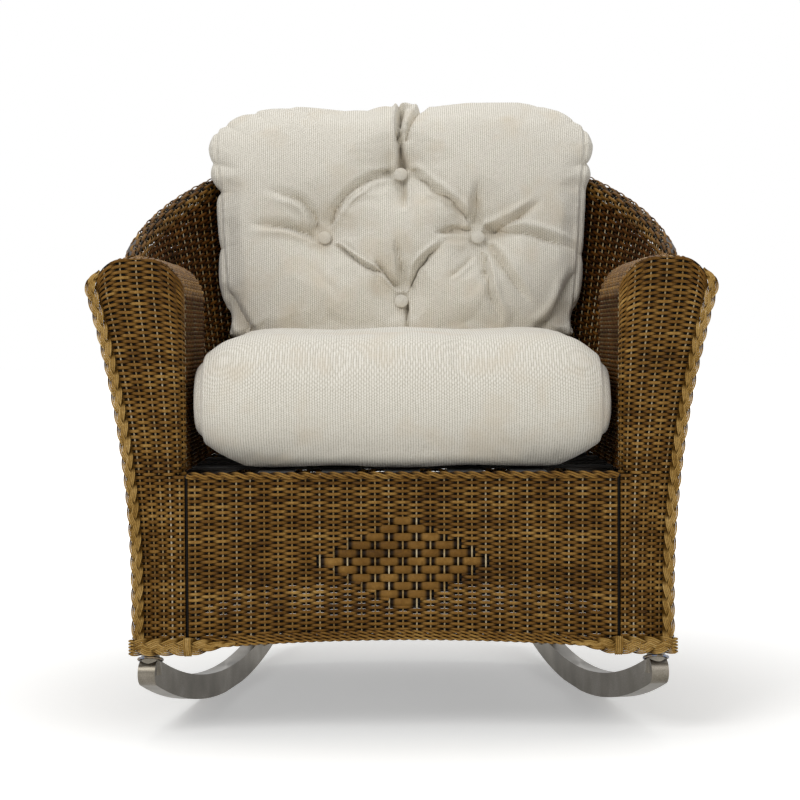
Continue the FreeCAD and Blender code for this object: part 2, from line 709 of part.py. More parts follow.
def oval(x, y, z, share):
    """An upright oval across the foot braid, its size a share of the full one."""
    high = size("foot_braid_height") / 2 * share
    deep = size("foot_braid_depth") / 2 * share
    centre = Vector(x, y, z)
    curve = Part.Ellipse(centre + UP * high, centre + BACK * deep, centre)
    return Part.Wire(curve.toShape())


def foot_braid():
    """The braid's core, an oval bar in front of the arm's foot that tapers to its tied tail."""
    y = front_y - size("foot_braid_depth") / 2
    z = post_foot_z + size("foot_braid_height") / 2
    outer_x = size("foot_width") / 2
    tip_x = opening_half - size("foot_braid_reach")
    tail_x = tip_x + size("foot_braid_tail")
    body = loft([oval(outer_x, y, z, 1), oval(tail_x, y, z, 1)], True)
    tail = loft([oval(tail_x, y, z, 1), oval(tip_x, y, z, BRAID_TIP_SHARE)], True)
    return body.fuse(tail)


pair("arm_edge_braid", feature("edge_braid", edge_braid()))
pair("arm_foot_braid", feature("foot_braid", foot_braid()))


# Seat webbing: two layers of straps laid over the rails.
def strap(name, middle, half_length, height, turn):
    """One flat strap centred on a place, lengthwise when turned a quarter."""
    corner = Vector(-half_length, -size("webbing_width") / 2, height)
    item = doc.addObject("Part::Box", name)
    item.Length = 2 * half_length
    item.setExpression("Width", "Sizes.webbing_width")
    item.setExpression("Height", "Sizes.webbing_thickness")
    item.Placement = Placement(middle, Rotation(UP, turn)).multiply(Placement(corner, Rotation()))
    return item


lap = size("webbing_lap")
long_straps = []
for index, share in enumerate(LENGTHWISE_STRAP_SHARES):
    middle = Vector(share * rear_post_x, (post_y + rear_post_y) / 2, 0)
    half = (rear_post_y - post_y) / 2 + lap
    long_straps.append(strap(f"long_strap_{index}", middle, half, strap_z, 90))
cross_straps = []
for index, share in enumerate(CROSSWISE_STRAP_SHARES):
    middle = Vector(0, mix(post_y, rear_post_y, share), 0)
    half = mix(post_x, rear_post_x, share) + lap
    cross_straps.append(strap(f"cross_strap_{index}", middle, half, strap_z + size("webbing_thickness"), 0))
doc.recompute()
node("webbing_lengthwise", feature("long_webbing", Part.makeCompound([item.Shape for item in long_straps])))
node("webbing_crosswise", feature("cross_webbing", Part.makeCompound([item.Shape for item in cross_straps])))


# Seat cushion: crowned, with a waterfall front, drawn-in sides and a rear that drops under the back cushion.
seat_top_z = seat_base_z + size("seat_cushion_height")
back_foot_y = seat_front_y + size("back_cushion_setback")


def seat_section(share, height_share, front_share, rear_share, set_in):
    """A closed side-on profile of the seat cushion at a share of its half width."""
    full = size("seat_cushion_height") - 2 * set_in
    tall = full * height_share
    x = (size("seat_cushion_width") / 2 - set_in) * share
    low = seat_base_z + set_in + (full - tall) * SEAT_NOSE_SHARE
    high = low + tall
    front = seat_front_y + set_in + full * front_share
    rear = seat_front_y + size("seat_cushion_depth") - set_in - full * rear_share
    round_rear = tall * SEAT_REAR_SHARE
    drop_y = rear - round_rear
    rest_y = min(back_foot_y - set_in, mix(front, drop_y, SEAT_REST_SHARE))
    edge = tall * SEAT_EDGE_SHARE
    nose = Vector(x, front, low + tall * SEAT_NOSE_SHARE)
    foot = Vector(x, front + tall * SEAT_FOOT_SHARE, low)
    brow = Vector(x, front + tall * SEAT_BROW_SHARE, high - edge)
    rest = Vector(x, rest_y, high - edge / 2)
    drop = Vector(x, drop_y, rest.z - (drop_y - rest_y) * math.tan(back_lean))
    rear_middle = Vector(x, rear, mix(low, drop.z, 0.5))
    rear_foot = Vector(x, rear - round_rear, low)
    crown = Vector(x, mix(brow.y, rest.y, 0.5), high)
    edges = [
        quarter(nose, foot),
        quarter(nose, brow),
        Part.Arc(brow, crown, rest).toShape(),
        line(rest, drop),
        quarter(rear_middle, drop),
        quarter(rear_middle, rear_foot),
        line(rear_foot, foot),
    ]
    return Part.Wire(edges)


def cushion_layers(section, table):
    """[outside, lining, core] of a cushion, the lining and the core drawn in by the cover."""
    cover = size("cover_thickness")
    set_ins = (0, cover, cover + size("rest_gap"))
    return [loft([section(*shares, set_in) for shares in table]) for set_in in set_ins]


seat_outside, seat_lining, seat_core = cushion_layers(seat_section, SEAT_SECTION_SHARES)
node("seat_cushion_cover", feature("seat_cover", seat_outside.cut(seat_lining)))
node("seat_cushion_core", feature("seat_core", seat_core))


# Back cushion: it stands on the seat cushion's sloping rear and leans with the back.
lean_back = Vector(0, math.cos(back_lean), -math.sin(back_lean))
lean_up = Vector(0, math.sin(back_lean), math.cos(back_lean))
seat_rest = seat_top_z - size("seat_cushion_height") * SEAT_EDGE_SHARE / 2
back_foot = Vector(0, back_foot_y, seat_rest) + lean_up * size("rest_gap")


def leaning(x, back, up):
    """A point of the back cushion from its own across, back and up distances."""
    return back_foot + RIGHT * x + lean_back * back + lean_up * up


def back_section(height_share, width_share, thickness_share, set_in):
    """A closed level slice of the back cushion: a crowned front and rear joined by bulging sides."""
    full = size("back_cushion_thickness") - 2 * set_in
    up = set_in + (size("back_cushion_height") - 2 * set_in) * height_share
    wide = (size("back_cushion_width") / 2 - set_in) * width_share
    deep = full * thickness_share
    middle = set_in + full * 0.5
    seam = wide * BACK_SEAM_SHARE
    near = middle - deep / 2
    far = middle + deep / 2
    side = mix(near, far, BACK_BOXING_PLACE_SHARE)
    half_boxing = deep * BACK_BOXING_SHARE / 2
    corners = [leaning(across, side + edge, up) for across, edge in (
        (-seam, -half_boxing), (seam, -half_boxing), (seam, half_boxing), (-seam, half_boxing)
    )]
    edges = [
        Part.Arc(corners[0], leaning(0, near, up), corners[1]).toShape(),
        Part.Arc(corners[1], leaning(wide, side, up), corners[2]).toShape(),
        Part.Arc(corners[2], leaning(0, far, up), corners[3]).toShape(),
        Part.Arc(corners[3], leaning(-wide, side, up), corners[0]).toShape(),
    ]
    return Part.Wire(edges)


back_outside, back_lining, back_core = cushion_layers(back_section, BACK_SECTION_SHARES)
button_radius = size("button_width") / 2
button_height = size("button_height")
tuft_depth = size("tuft_depth")
tuft_half = size("tuft_width") / 2
hollow_radius = (tuft_half**2 + tuft_depth**2) / (2 * tuft_depth)
dome_height = button_height * BUTTON_DOME_SHARE
dome_radius = (button_radius**2 + dome_height**2) / (2 * dome_height)
seat_sag = hollow_radius - math.sqrt(hollow_radius**2 - button_radius**2)


def covered_button(base, outward):
    """A round button with a domed face, standing on base and facing outward."""
    rim = Vector(button_radius, 0, button_height - dome_height)
    crown = Vector(0, 0, button_height)
    half_turn = math.asin(button_radius / dome_radius) / 2
    shoulder = crown - UP * dome_radius + Vector(math.sin(half_turn), 0, math.cos(half_turn)) * dome_radius
    foot = Vector(button_radius, 0, 0)
    edges = [line(ORIGIN, foot), line(foot, rim), Part.Arc(rim, shoulder, crown).toShape(), line(crown, ORIGIN)]
    button = Part.Face(Part.Wire(edges)).revolve(ORIGIN, UP, 360)
    button.Placement = Placement(base, Rotation(UP, outward))
    return button


button_middle = size("lowest_button_height") + size("button_rise") / 2
button_places = {
    "top": (0, button_middle + size("button_rise") / 2),
    "right": (size("button_spread") / 2, button_middle),
    "left": (-size("button_spread") / 2, button_middle),
    "bottom": (0, size("lowest_button_height")),
}
twines = []
hollows = []
for place_name, (across, up) in button_places.items():
    ahead = leaning(across, -size("back_cushion_thickness"), up)
    behind = leaning(across, 2 * size("back_cushion_thickness"), up)
    ends = []
    through = line(ahead, behind).common(back_outside)
    for side_name, corner, outward in (("front", ahead, lean_back * -1), ("rear", behind, lean_back)):
        surface = min((vertex.Point for vertex in through.Vertexes), key=lambda point: point.distanceToPoint(corner))
        hollows.append(surface + outward * (hollow_radius - tuft_depth))
        base = surface - outward * (tuft_depth - seat_sag)
        ends.append(base)
        button = feature(f"{side_name}_button_{place_name}", covered_button(base, outward))
        node(f"{side_name}_button_{place_name}", button)
    twines.append((ends[0], ends[1] - ends[0]))


def tufted(shape, margin):
    """A cushion layer with a hollow under every button and a hole for every twine."""
    tools = [Part.makeSphere(hollow_radius + margin, centre) for centre in hollows]
    hole = size("twine_width") / 2 + size("twine_clearance")
    tools += [Part.makeCylinder(hole, run.Length, start, run) for start, run in twines]
    return shape.cut(tools)


cover_shape = tufted(back_outside, 0).cut(tufted(back_lining, size("cover_thickness")))
core_margin = size("cover_thickness") + size("rest_gap")
node("back_cushion_cover", feature("back_cover", cover_shape))
node("back_cushion_core", feature("back_core", tufted(back_core.common(back_lining), core_margin)))
twine_runs = [Part.makeCylinder(size("twine_width") / 2, run.Length, start, run) for start, run in twines]
node("tuft_twine", feature("twine", Part.makeCompound(twine_runs)))


doc.recompute()
os.makedirs("parts", exist_ok=True)
for name, item in nodes.items():
    shape = item.Shape
    if "Invalid" in item.State or "Error" in item.State or shape.isNull() or not shape.isValid():
        raise RuntimeError(f"{name} did not build")
    shape.exportStep(f"parts/{name}.step")
    box = shape.BoundBox
    print(f"{name:24s} {len(shape.Solids)} solids {shape.Volume / 1000:9.1f} cm3  "
          f"x {box.XMin:7.1f} {box.XMax:7.1f}  y {box.YMin:7.1f} {box.YMax:7.1f}  z {box.ZMin:7.1f} {box.ZMax:7.1f}")
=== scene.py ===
"""Looks of a low, wide woven rocking lounge chair with loose ivory cushions on two brushed flat-bar runners.

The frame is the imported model. Sizes here are in millimetres, in the model's own frame:
+X right, +Y back, +Z up.
"""
import math
import random

import bmesh
import bpy
import numpy as np
from mathutils import Matrix, Vector


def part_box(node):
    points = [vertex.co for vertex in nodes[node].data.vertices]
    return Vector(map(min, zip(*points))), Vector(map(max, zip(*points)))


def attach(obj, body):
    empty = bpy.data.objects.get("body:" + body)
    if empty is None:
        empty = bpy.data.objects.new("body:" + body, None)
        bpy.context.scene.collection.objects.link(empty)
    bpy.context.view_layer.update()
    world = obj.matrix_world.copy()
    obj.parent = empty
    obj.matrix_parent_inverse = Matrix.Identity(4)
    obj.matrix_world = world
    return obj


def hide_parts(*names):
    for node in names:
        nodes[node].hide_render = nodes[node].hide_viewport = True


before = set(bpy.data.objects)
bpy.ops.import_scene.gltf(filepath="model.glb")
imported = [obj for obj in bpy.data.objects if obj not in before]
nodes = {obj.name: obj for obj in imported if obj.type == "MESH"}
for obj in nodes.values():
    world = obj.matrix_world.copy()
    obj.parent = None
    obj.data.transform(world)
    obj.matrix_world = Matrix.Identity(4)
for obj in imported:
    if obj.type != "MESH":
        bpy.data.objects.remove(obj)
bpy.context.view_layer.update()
MM = 0.001

# The chair's own sizes.
FRONT_Y = -435.5
SKIN = 7.0
SKIN_BACK_Y = FRONT_Y + SKIN
ARM_END_Y = -15.5
BLEND_START_Y = -145.5
OPENING_HALF = 304.0
FOOT_HALF = 366.5
SKIRT_Z = 135.0
APRON_CORNER_Z = 126.0
APRON_RISE = 13.0
APRON_TOP_Z = 371.0
SEAT_BASE_Z = 377.3
FLARE_START_Z = 195.0
CREST_Z = 678.0
SHOULDER_RADIUS = 40.0
SHOULDER_X = 388.0
INNER_RADIUS = 56.0
CORNER_RADIUS = 28.0
SIDE_FOOT_X = 379.2
BASE_HALF = 350.0
BASE_REACH = 280.0
BASE_POWER = 2 / 2.6
RIM_HALF = 432.0
RIM_REACH = 473.5
RIM_Z = 684.0
RIM_RISE = 223.5
RIM_RADIUS = 9.5
RIM_CLEARANCE = 2.0
RIM_ANGLES = (0, 60, 120)
INNER_SET_IN = 14.5

# The weave, measured on the photograph.
ROW_PITCH = 4.1
STRAND_HEIGHT = 5.0
STRAND_THICKNESS = 1.9
WEAVE_DEPTH = 2.4
STAKE_WIDTH = 2.6
INNER_HEIGHT = 4.8
INNER_THICKNESS = 3.0
STAKE_THICKNESS = 1.8
# How far a row may narrow or widen where the rows draw together or apart.
WIDTH_LIMITS = (0.55, 1.12)
# The guide points' distance up a stake, and the fewest that make a strand.
GUIDE_STEP = 12.0
SHORTEST_RUN = 3
STRAND_SIDES = 6
FACING_STEP = 0.004
FORWARD = np.array([0.0, -1.0, 0.0])


def mix(first, last, share):
    """The value a share of the way from first to last."""
    return first + (last - first) * share


def unit(vectors):
    """Vectors brought to length one."""
    return vectors / np.linalg.norm(vectors, axis=-1, keepdims=True)


def stack(x, y, z):
    """Points from arrays or numbers of x, y and z."""
    return np.stack(np.broadcast_arrays(*(np.asarray(part, float) for part in (x, y, z))), axis=-1)


def distances(route):
    """How far along the route each of its points lies."""
    return np.concatenate([[0], np.cumsum(np.linalg.norm(np.diff(route, axis=0), axis=1))])


# Nodes and materials.
def add_node(tree, kind, inputs=None, **settings):
    """Adds a node with its settings and gives its outputs; inputs holds values and feeding sockets."""
    node = tree.nodes.new(kind)
    for name, value in settings.items():
        setattr(node, name, value)
    for key, value in (inputs or {}).items():
        if isinstance(value, bpy.types.NodeSocket):
            tree.links.new(value, node.inputs[key])
        else:
            node.inputs[key].default_value = value
    return node.outputs


def colour(text):
    """A linear colour from an sRGB hex value."""
    parts = [int(text[index:index + 2], 16) / 255 for index in (1, 3, 5)]
    return [part / 12.92 if part <= 0.04045 else ((part + 0.055) / 1.055) ** 2.4 for part in parts] + [1]


def surface(name, **values):
    """A material with one Principled surface: (material, its tree, its shader, the place on the piece)."""
    material = bpy.data.materials.new(name)
    material.use_nodes = True
    shader = material.node_tree.nodes["Principled BSDF"]
    for socket, value in values.items():
        shader.inputs[socket.replace("_", " ")].default_value = value
    tree = material.node_tree
    return material, tree, shader, add_node(tree, "ShaderNodeTexCoord")["Object"]


def ramp(tree, factor, stops):
    """A colour ramp over (place, hex) stops."""
    tone = add_node(tree, "ShaderNodeValToRGB", {0: factor})["Color"]
    elements = tone.node.color_ramp.elements
    while len(elements) < len(stops):
        elements.new(0.5)
    for element, (place, text) in zip(elements, stops):
        element.position = place
        element.color = colour(text)
    return tone


def noise(tree, vector, size_mm, **inputs):
    """Noise whose features are about size_mm across, from metre coordinates."""
    values = {"Vector": vector, "Scale": 1 / (size_mm * MM), **inputs}
    return add_node(tree, "ShaderNodeTexNoise", values)["Fac"]


def relief(tree, shader, height, depth_mm, strength):
    """Bump of a real depth on the shader."""
    bump = add_node(tree, "ShaderNodeBump", {
        "Strength": strength, "Distance": depth_mm * MM, "Height": height})["Normal"]
    tree.links.new(bump, shader.inputs["Normal"])


# How much a strand's own tint counts, the sums that make its darkest and lightest tone, where it dives
# deepest and takes its full painted shade, and the size of its blotches and fibres.
TINT_WEIGHT = 0.5
TONE_RANGE = (0.72, 1.78)
DEEPEST_FRONT = -0.7
BLOTCH_MM = 45
FIBRE_MM = 0.8
FIBRE_DEPTH_MM = 0.25


def strand_material(name, stops, roughness, streak_mm, recess_shade=None, shade_from=0.25, gloss=0.2):
    """Extruded strand: satin, each a little lighter or darker, mottled, and painted shade where it dives
    behind a stake.
    """
    material, tree, shader, place = surface(name, Roughness=roughness, IOR=1.35, Specular_IOR_Level=gloss)
    tint = add_node(tree, "ShaderNodeAttribute", attribute_name="tint")["Fac"]
    mottle = noise(tree, place, streak_mm, Detail=4.0, Roughness=0.7)
    blotch = noise(tree, place, BLOTCH_MM, Detail=2.0)
    mottled = add_node(tree, "ShaderNodeMath", {0: tint, 1: TINT_WEIGHT, 2: mottle},
                       operation="MULTIPLY_ADD")[0]
    blotched = add_node(tree, "ShaderNodeMath", {0: mottled, 1: blotch}, operation="ADD")[0]
    low, high = TONE_RANGE
    share = add_node(tree, "ShaderNodeMapRange", {"Value": blotched, "From Min": low, "From Max": high})[0]
    tone = ramp(tree, share, stops)
    # Painted shade: the tone is mixed towards the recess colour where the row lies behind a stake.
    if recess_shade:
        front = add_node(tree, "ShaderNodeAttribute", attribute_name="front")["Fac"]
        shade = add_node(tree, "ShaderNodeMapRange", {
            "Value": front, "From Min": shade_from, "From Max": DEEPEST_FRONT})[0]
        tone = add_node(tree, "ShaderNodeMix", {"Factor": shade, 6: tone, 7: colour(recess_shade)},
                        data_type="RGBA")[2]
    tree.links.new(tone, shader.inputs["Base Color"])
    relief(tree, shader, noise(tree, place, FIBRE_MM, Detail=3.0), FIBRE_DEPTH_MM, 0.5)
    return material


# Polyethylene wicker, extruded flat and satin: the woven skins read as warm brown with tan crests, and a
# near-black painted shade where a row dives behind a stake.
WICKER = strand_material(
    "woven_polyethylene_wicker",
    ((0, "#3a2307"), (0.35, "#654415"), (0.7, "#85602a"), (1, "#ab8648")), 0.46, 7, "#0a0501"
)
# The faces that look into the chair take a darker copy of the wicker, painted shade, and are woven more open,
# so their rows read one by one.
SHADED_INNER_WICKER = strand_material(
    "woven_wicker_inner_faces_painted_shade",
    ((0, "#1f0f02"), (0.4, "#3f2307"), (0.75, "#5a3710"), (1, "#774f1e")), 0.6, 7, "#040200", gloss=0.08
)
# The diamond's wide strips are the same run extruded flat: even in colour, with painted shade only where they
# dive behind a stake.
STRIP = strand_material(
    "woven_wide_wicker_strip",
    ((0, "#4d3310"), (0.4, "#6b4a1c"), (0.75, "#7f5c29"), (1, "#957038")), 0.5, 6, "#1c1004", shade_from=-0.1
)
# The stakes are round core strands of a paler run, the light dots between the dark gaps.
STAKE = strand_material(
    "round_core_stake", ((0, "#6a4a1e"), (0.4, "#a08453"), (0.7, "#bfae8c"), (1, "#dcd0b6")), 0.5, 9
)
# Seagrass-coloured braid reeds: straw yellow, matt, finely streaked, with painted shade where a bundle dives
# under the others.
BRAID = strand_material(
    "braided_straw_reed",
    ((0, "#6e4f20"), (0.4, "#9c7a40"), (0.75, "#b8965a"), (1, "#d3b884")), 0.7, 5, "#52380f", gloss=0.08
)
# The apron's borders are the same wicker rolled in pairs, round, with painted shade where a reed dives under
# the other, so their crests read paler.
BORDER = strand_material(
    "rolled_wicker_border",
    ((0, "#5c3d14"), (0.4, "#86622c"), (0.75, "#a27e42"), (1, "#bd9c62")), 0.5, 6, "#2a1805"
)


# Woven skins: guide lines over a surface, which one Geometry Nodes tree turns into strands.
def lay_strand(strands, points, facing, tint, crossing=0.0, width=1.0, stake=False):
    """Adds one guide line; crossing counts stakes passed, and an even one is in front."""
    strands.append({
        "points": points, "facing": np.broadcast_to(facing, points.shape), "tint": tint, "stake": stake,
        "crossing": np.broadcast_to(crossing, len(points)), "width": np.broadcast_to(width, len(points)),
    })


def facing_of(place, across, up, outward):
    """Unit vectors out of the surface place(across, up) on its outward side."""
    left = np.clip(across - FACING_STEP, 0, 1)
    right = np.clip(across + FACING_STEP, 0, 1)
    low = np.clip(up - FACING_STEP, 0, 1)
    high = np.clip(up + FACING_STEP, 0, 1)
    normal = np.cross(place(right, up) - place(left, up), place(across, high) - place(across, low))
    return unit(normal) * outward


def unbroken(keep):
    """Slices of the stretches where keep holds, without those too short for a strand."""
    edges = np.flatnonzero(np.diff(np.concatenate([[0], keep, [0]]))).reshape(-1, 2)
    return [slice(start, end) for start, end in edges if end - start >= SHORTEST_RUN]


def weave(place, rows, columns, samples, outward, seed, skip=None):
    """Guide lines of a plain weave over place(across, up), both from 0 to 1: rows across, stakes up."""
    chance = random.Random(seed)
    strands = []
    across = np.linspace(0, 1, columns * samples + 1)
    for index, height in enumerate(rows):
        up = np.full_like(across, height)
        points = place(across, up)
        facing = facing_of(place, across, up, outward)
        crossing = across * columns - 0.5 + index
        upper = min(index + 1, len(rows) - 1)
        above, below = (place(across, np.full_like(across, rows[row])) for row in (upper, upper - 1))
        width = np.clip(np.linalg.norm(above - below, axis=-1) / ROW_PITCH, *WIDTH_LIMITS)
        tint = chance.random()
        keep = np.ones(len(across), bool) if skip is None else ~skip(points)
        for part in unbroken(keep):
            lay_strand(strands, points[part], facing[part], tint, crossing[part], width[part])
    middle = place(np.full(9, 0.5), np.linspace(rows[0], rows[-1], 9))
    length = np.linalg.norm(np.diff(middle, axis=0), axis=1).sum()
    up = np.linspace(rows[0], rows[-1], max(3, int(length / GUIDE_STEP)))
    for index in range(columns):
        side = np.full_like(up, (index + 0.5) / columns)
        lay_strand(strands, place(side, up), facing_of(place, side, up, outward), chance.random(), stake=True)
    return strands


def mirrored(strands):
    """The same guide lines on the left side."""
    flip = np.array([-1.0, 1.0, 1.0])
    return [
        {**strand, "points": strand["points"] * flip, "facing": strand["facing"] * flip} for strand in strands
    ]


def guide_mesh(name, strands):
    """Guide lines as a mesh of loose edges with their facing, crossing, stake, width and tint stored."""
    mesh = bpy.data.meshes.new(name)
    counts = [len(strand["points"]) for strand in strands]
    total = sum(counts)
    mesh.vertices.add(total)
    mesh.vertices.foreach_set("co", (np.concatenate([strand["points"] for strand in strands]) * MM).ravel())
    begins = np.cumsum([0] + counts)
    starts = np.concatenate([np.arange(count - 1) + begin for count, begin in zip(counts, begins)])
    mesh.edges.add(len(starts))
    mesh.edges.foreach_set("vertices", np.stack([starts, starts + 1], axis=1).ravel())
    facing = mesh.attributes.new("facing", "FLOAT_VECTOR", "POINT")
    facing.data.foreach_set("vector", np.concatenate([strand["facing"] for strand in strands]).ravel())
    for key in ("crossing", "width"):
        values = mesh.attributes.new(key, "FLOAT", "POINT")
        values.data.foreach_set("value", np.concatenate([strand[key] for strand in strands]))
    for key in ("stake", "tint"):
        values = mesh.attributes.new(key, "FLOAT", "POINT")
        values.data.foreach_set("value", np.repeat([float(strand[key]) for strand in strands], counts))
    return mesh


def strand_tree():
    """The tree that weaves guide lines: rows bow in front of one stake and behind the next."""
    tree = bpy.data.node_groups.new("woven_skin", "GeometryNodeTree")
    tree.interface.new_socket("Geometry", in_out="OUTPUT", socket_type="NodeSocketGeometry")
    tree.interface.new_socket("Geometry", in_out="INPUT", socket_type="NodeSocketGeometry")
    for name in ("Weave Depth", "Strand Height", "Strand Thickness", "Stake Width", "Stake Thickness"):
        tree.interface.new_socket(name, in_out="INPUT", socket_type="NodeSocketFloat")
    for name in ("Strand Material", "Stake Material"):
        tree.interface.new_socket(name, in_out="INPUT", socket_type="NodeSocketMaterial")
    given = tree.nodes.new("NodeGroupInput").outputs
    read = {}
    for name in ("facing", "crossing", "stake", "width"):
        kind = "FLOAT_VECTOR" if name == "facing" else "FLOAT"
        read[name] = add_node(
            tree, "GeometryNodeInputNamedAttribute", {"Name": name}, data_type=kind)["Attribute"]
    turn = add_node(tree, "ShaderNodeMath", {0: read["crossing"], 1: math.pi}, operation="MULTIPLY")[0]
    wave = add_node(tree, "ShaderNodeMath", {0: turn}, operation="COSINE")[0]
    reach = add_node(tree, "ShaderNodeMath", {0: wave, 1: given["Weave Depth"]}, operation="MULTIPLY")[0]
    offset = add_node(tree, "ShaderNodeVectorMath", {0: read["facing"], "Scale": reach}, operation="SCALE")[0]
    parts = add_node(tree, "GeometryNodeSeparateGeometry", {
        "Geometry": given["Geometry"], "Selection": read["stake"]}, domain="POINT")
    # Painted shade: the bow is stored as the front attribute, by which the strand materials darken a row
    # behind a stake.
    bowed = add_node(tree, "GeometryNodeStoreNamedAttribute", {
        "Geometry": parts["Inverted"], "Name": "front", "Value": wave}, data_type="FLOAT", domain="POINT")[0]
    bowed = add_node(tree, "GeometryNodeSetPosition", {"Geometry": bowed, "Offset": offset})[0]
    made = []
    for lines, across, deep, finish in (
        (bowed, "Strand Height", "Strand Thickness", "Strand Material"),
        (parts["Selection"], "Stake Width", "Stake Thickness", "Stake Material"),
    ):
        curve = add_node(tree, "GeometryNodeMeshToCurve", {"Mesh": lines})[0]
        curve = add_node(tree, "GeometryNodeSetCurveNormal", {
            "Curve": curve, "Normal": read["facing"]}, mode="FREE")[0]
        ring = add_node(tree, "GeometryNodeCurvePrimitiveCircle", {
            "Resolution": STRAND_SIDES, "Radius": 0.5})[0]
        size = add_node(tree, "ShaderNodeCombineXYZ", {"X": given[deep], "Y": given[across], "Z": 1.0})[0]
        ring = add_node(tree, "GeometryNodeTransform", {"Geometry": ring, "Scale": size})[0]
        solid = add_node(tree, "GeometryNodeCurveToMesh", {
            "Curve": curve, "Profile Curve": ring, "Scale": read["width"], "Fill Caps": True})[0]
        solid = add_node(tree, "GeometryNodeSetShadeSmooth", {"Geometry": solid})[0]
        solid = add_node(tree, "GeometryNodeRealizeInstances", {"Geometry": solid})[0]
        solid = add_node(tree, "GeometryNodeSetMaterial", {"Geometry": solid, "Material": given[finish]})[0]
        made.append(solid)
    joined = tree.nodes.new("GeometryNodeJoinGeometry")
    for part in made:
        tree.links.new(part, joined.inputs[0])
    end = tree.nodes.new("NodeGroupOutput")
    tree.links.new(joined.outputs[0], end.inputs[0])
    return tree


WOVEN_SKIN = strand_tree()


def bake(name, mesh, tree, values):
    """A mesh object from a guide mesh and a tree, whose inputs are set, evaluated and taken off again."""
    guide = bpy.data.objects.new(name + "_guide", mesh)
    bpy.context.scene.collection.objects.link(guide)
    modifier = guide.modifiers.new("tree", "NODES")
    modifier.node_group = tree
    for item in tree.interface.items_tree:
        if item.in_out == "INPUT" and item.name in values:
            modifier[item.identifier] = values[item.name]
    evaluated = guide.evaluated_get(bpy.context.evaluated_depsgraph_get())
    baked = bpy.data.meshes.new_from_object(evaluated)
    bpy.data.objects.remove(guide)
    baked.name = name
    for attribute in list(baked.attributes):
        if attribute.name in ("facing", "crossing", "stake", "width"):
            baked.attributes.remove(attribute)
    piece = bpy.data.objects.new(name, baked)
    bpy.context.scene.collection.objects.link(piece)
    return piece


def settle(piece, body, slot, *replaced):
    """Ties a finished piece to its body and hides the nodes it stands for; slot is not used."""
    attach(piece, body)
    if replaced:
        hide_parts(*replaced)


def woven_piece(name, strands, slot, node=None, height=STRAND_HEIGHT, thickness=STRAND_THICKNESS,
                depth=WEAVE_DEPTH, strand=WICKER):
    """Weaves guide lines into one piece of the chair."""
    piece = bake(name, guide_mesh(name, strands), WOVEN_SKIN, {
        "Weave Depth": depth * MM, "Strand Height": height * MM, "Strand Thickness": thickness * MM,
        "Stake Width": STAKE_WIDTH * MM, "Stake Thickness": STAKE_THICKNESS * MM,
        "Strand Material": strand, "Stake Material": STAKE,
    })
    settle(piece, "chair", slot, *([node] if node else []))


def woven_pair(name, strands, slot, node=None, **finish):
    """Weaves the right side's piece and, from the same guide lines mirrored, the left side's."""
    for side, lines in (("right", strands), ("left", mirrored(strands))):
        woven_piece(f"{name}_{side}", lines, slot, node and f"{node}_{side}", **finish)


def round_reed(size, strand):
    """The finish of guide lines that are round reeds already laid over each other."""
    return {"height": size, "thickness": size, "depth": 0.0, "strand": strand}


# The surfaces that the weave follows, as points of the middle of each skin.
FLARE_RISE = CREST_Z - SHOULDER_RADIUS - FLARE_START_Z
FLARE_ACROSS = SHOULDER_X - FOOT_HALF
FLARE_RADIUS = (FLARE_ACROSS**2 + FLARE_RISE**2 - SHOULDER_RADIUS**2) / (2 * (FLARE_ACROSS + SHOULDER_RADIUS))
MEET_ANGLE = math.atan2(-FLARE_RISE, FOOT_HALF + FLARE_RADIUS - SHOULDER_X)
MEET_X = SHOULDER_X + SHOULDER_RADIUS * math.cos(MEET_ANGLE)
MEET_Z = CREST_Z - SHOULDER_RADIUS + SHOULDER_RADIUS * math.sin(MEET_ANGLE)
MIDDLE = SKIN / 2
# Half of the joint between the apron and an arm, and how far behind the arm's face its side starts.
JOINT_HALF = 2.4
SIDE_START = 1.5
# How often the search for a row's outer end halves its span.
EDGE_HALVINGS = 24


def outline_x(z, growth=0.0):
    """The arm's outer edge seen from the front."""
    z = np.asarray(z, float)
    rise = np.clip(z - FLARE_START_Z, 0, None)
    flare = FOOT_HALF + FLARE_RADIUS - np.sqrt((FLARE_RADIUS - growth)**2 - np.minimum(rise, FLARE_RISE)**2)
    above = np.clip(z - (CREST_Z - SHOULDER_RADIUS), -SHOULDER_RADIUS - growth, SHOULDER_RADIUS + growth)
    shoulder = SHOULDER_X + np.sqrt((SHOULDER_RADIUS + growth)**2 - above**2)
    return np.where(z < MEET_Z, flare, shoulder)


def crest_of(x):
    """The arm's upper edge seen from the front."""
    x = np.asarray(x, float)
    outer = np.clip(x - SHOULDER_X, 0, SHOULDER_RADIUS)
    inner = np.clip(OPENING_HALF + INNER_RADIUS - x, 0, INNER_RADIUS)
    drop = (SHOULDER_RADIUS - np.sqrt(SHOULDER_RADIUS**2 - outer**2)
            + INNER_RADIUS - np.sqrt(INNER_RADIUS**2 - inner**2))
    return CREST_Z - drop


def front_foot(across, up):
    """The arm front below the seat, one flat plate."""
    z = mix(SKIRT_Z, APRON_TOP_Z, up)
    return stack(mix(OPENING_HALF + JOINT_HALF, outline_x(z), across), FRONT_Y + MIDDLE, z)


def front_height(x, up):
    """Rows of the arm front lie level low down and arch with the crest at the top."""
    return mix(APRON_TOP_Z, CREST_Z, up) - up**3 * (CREST_Z - crest_of(x))


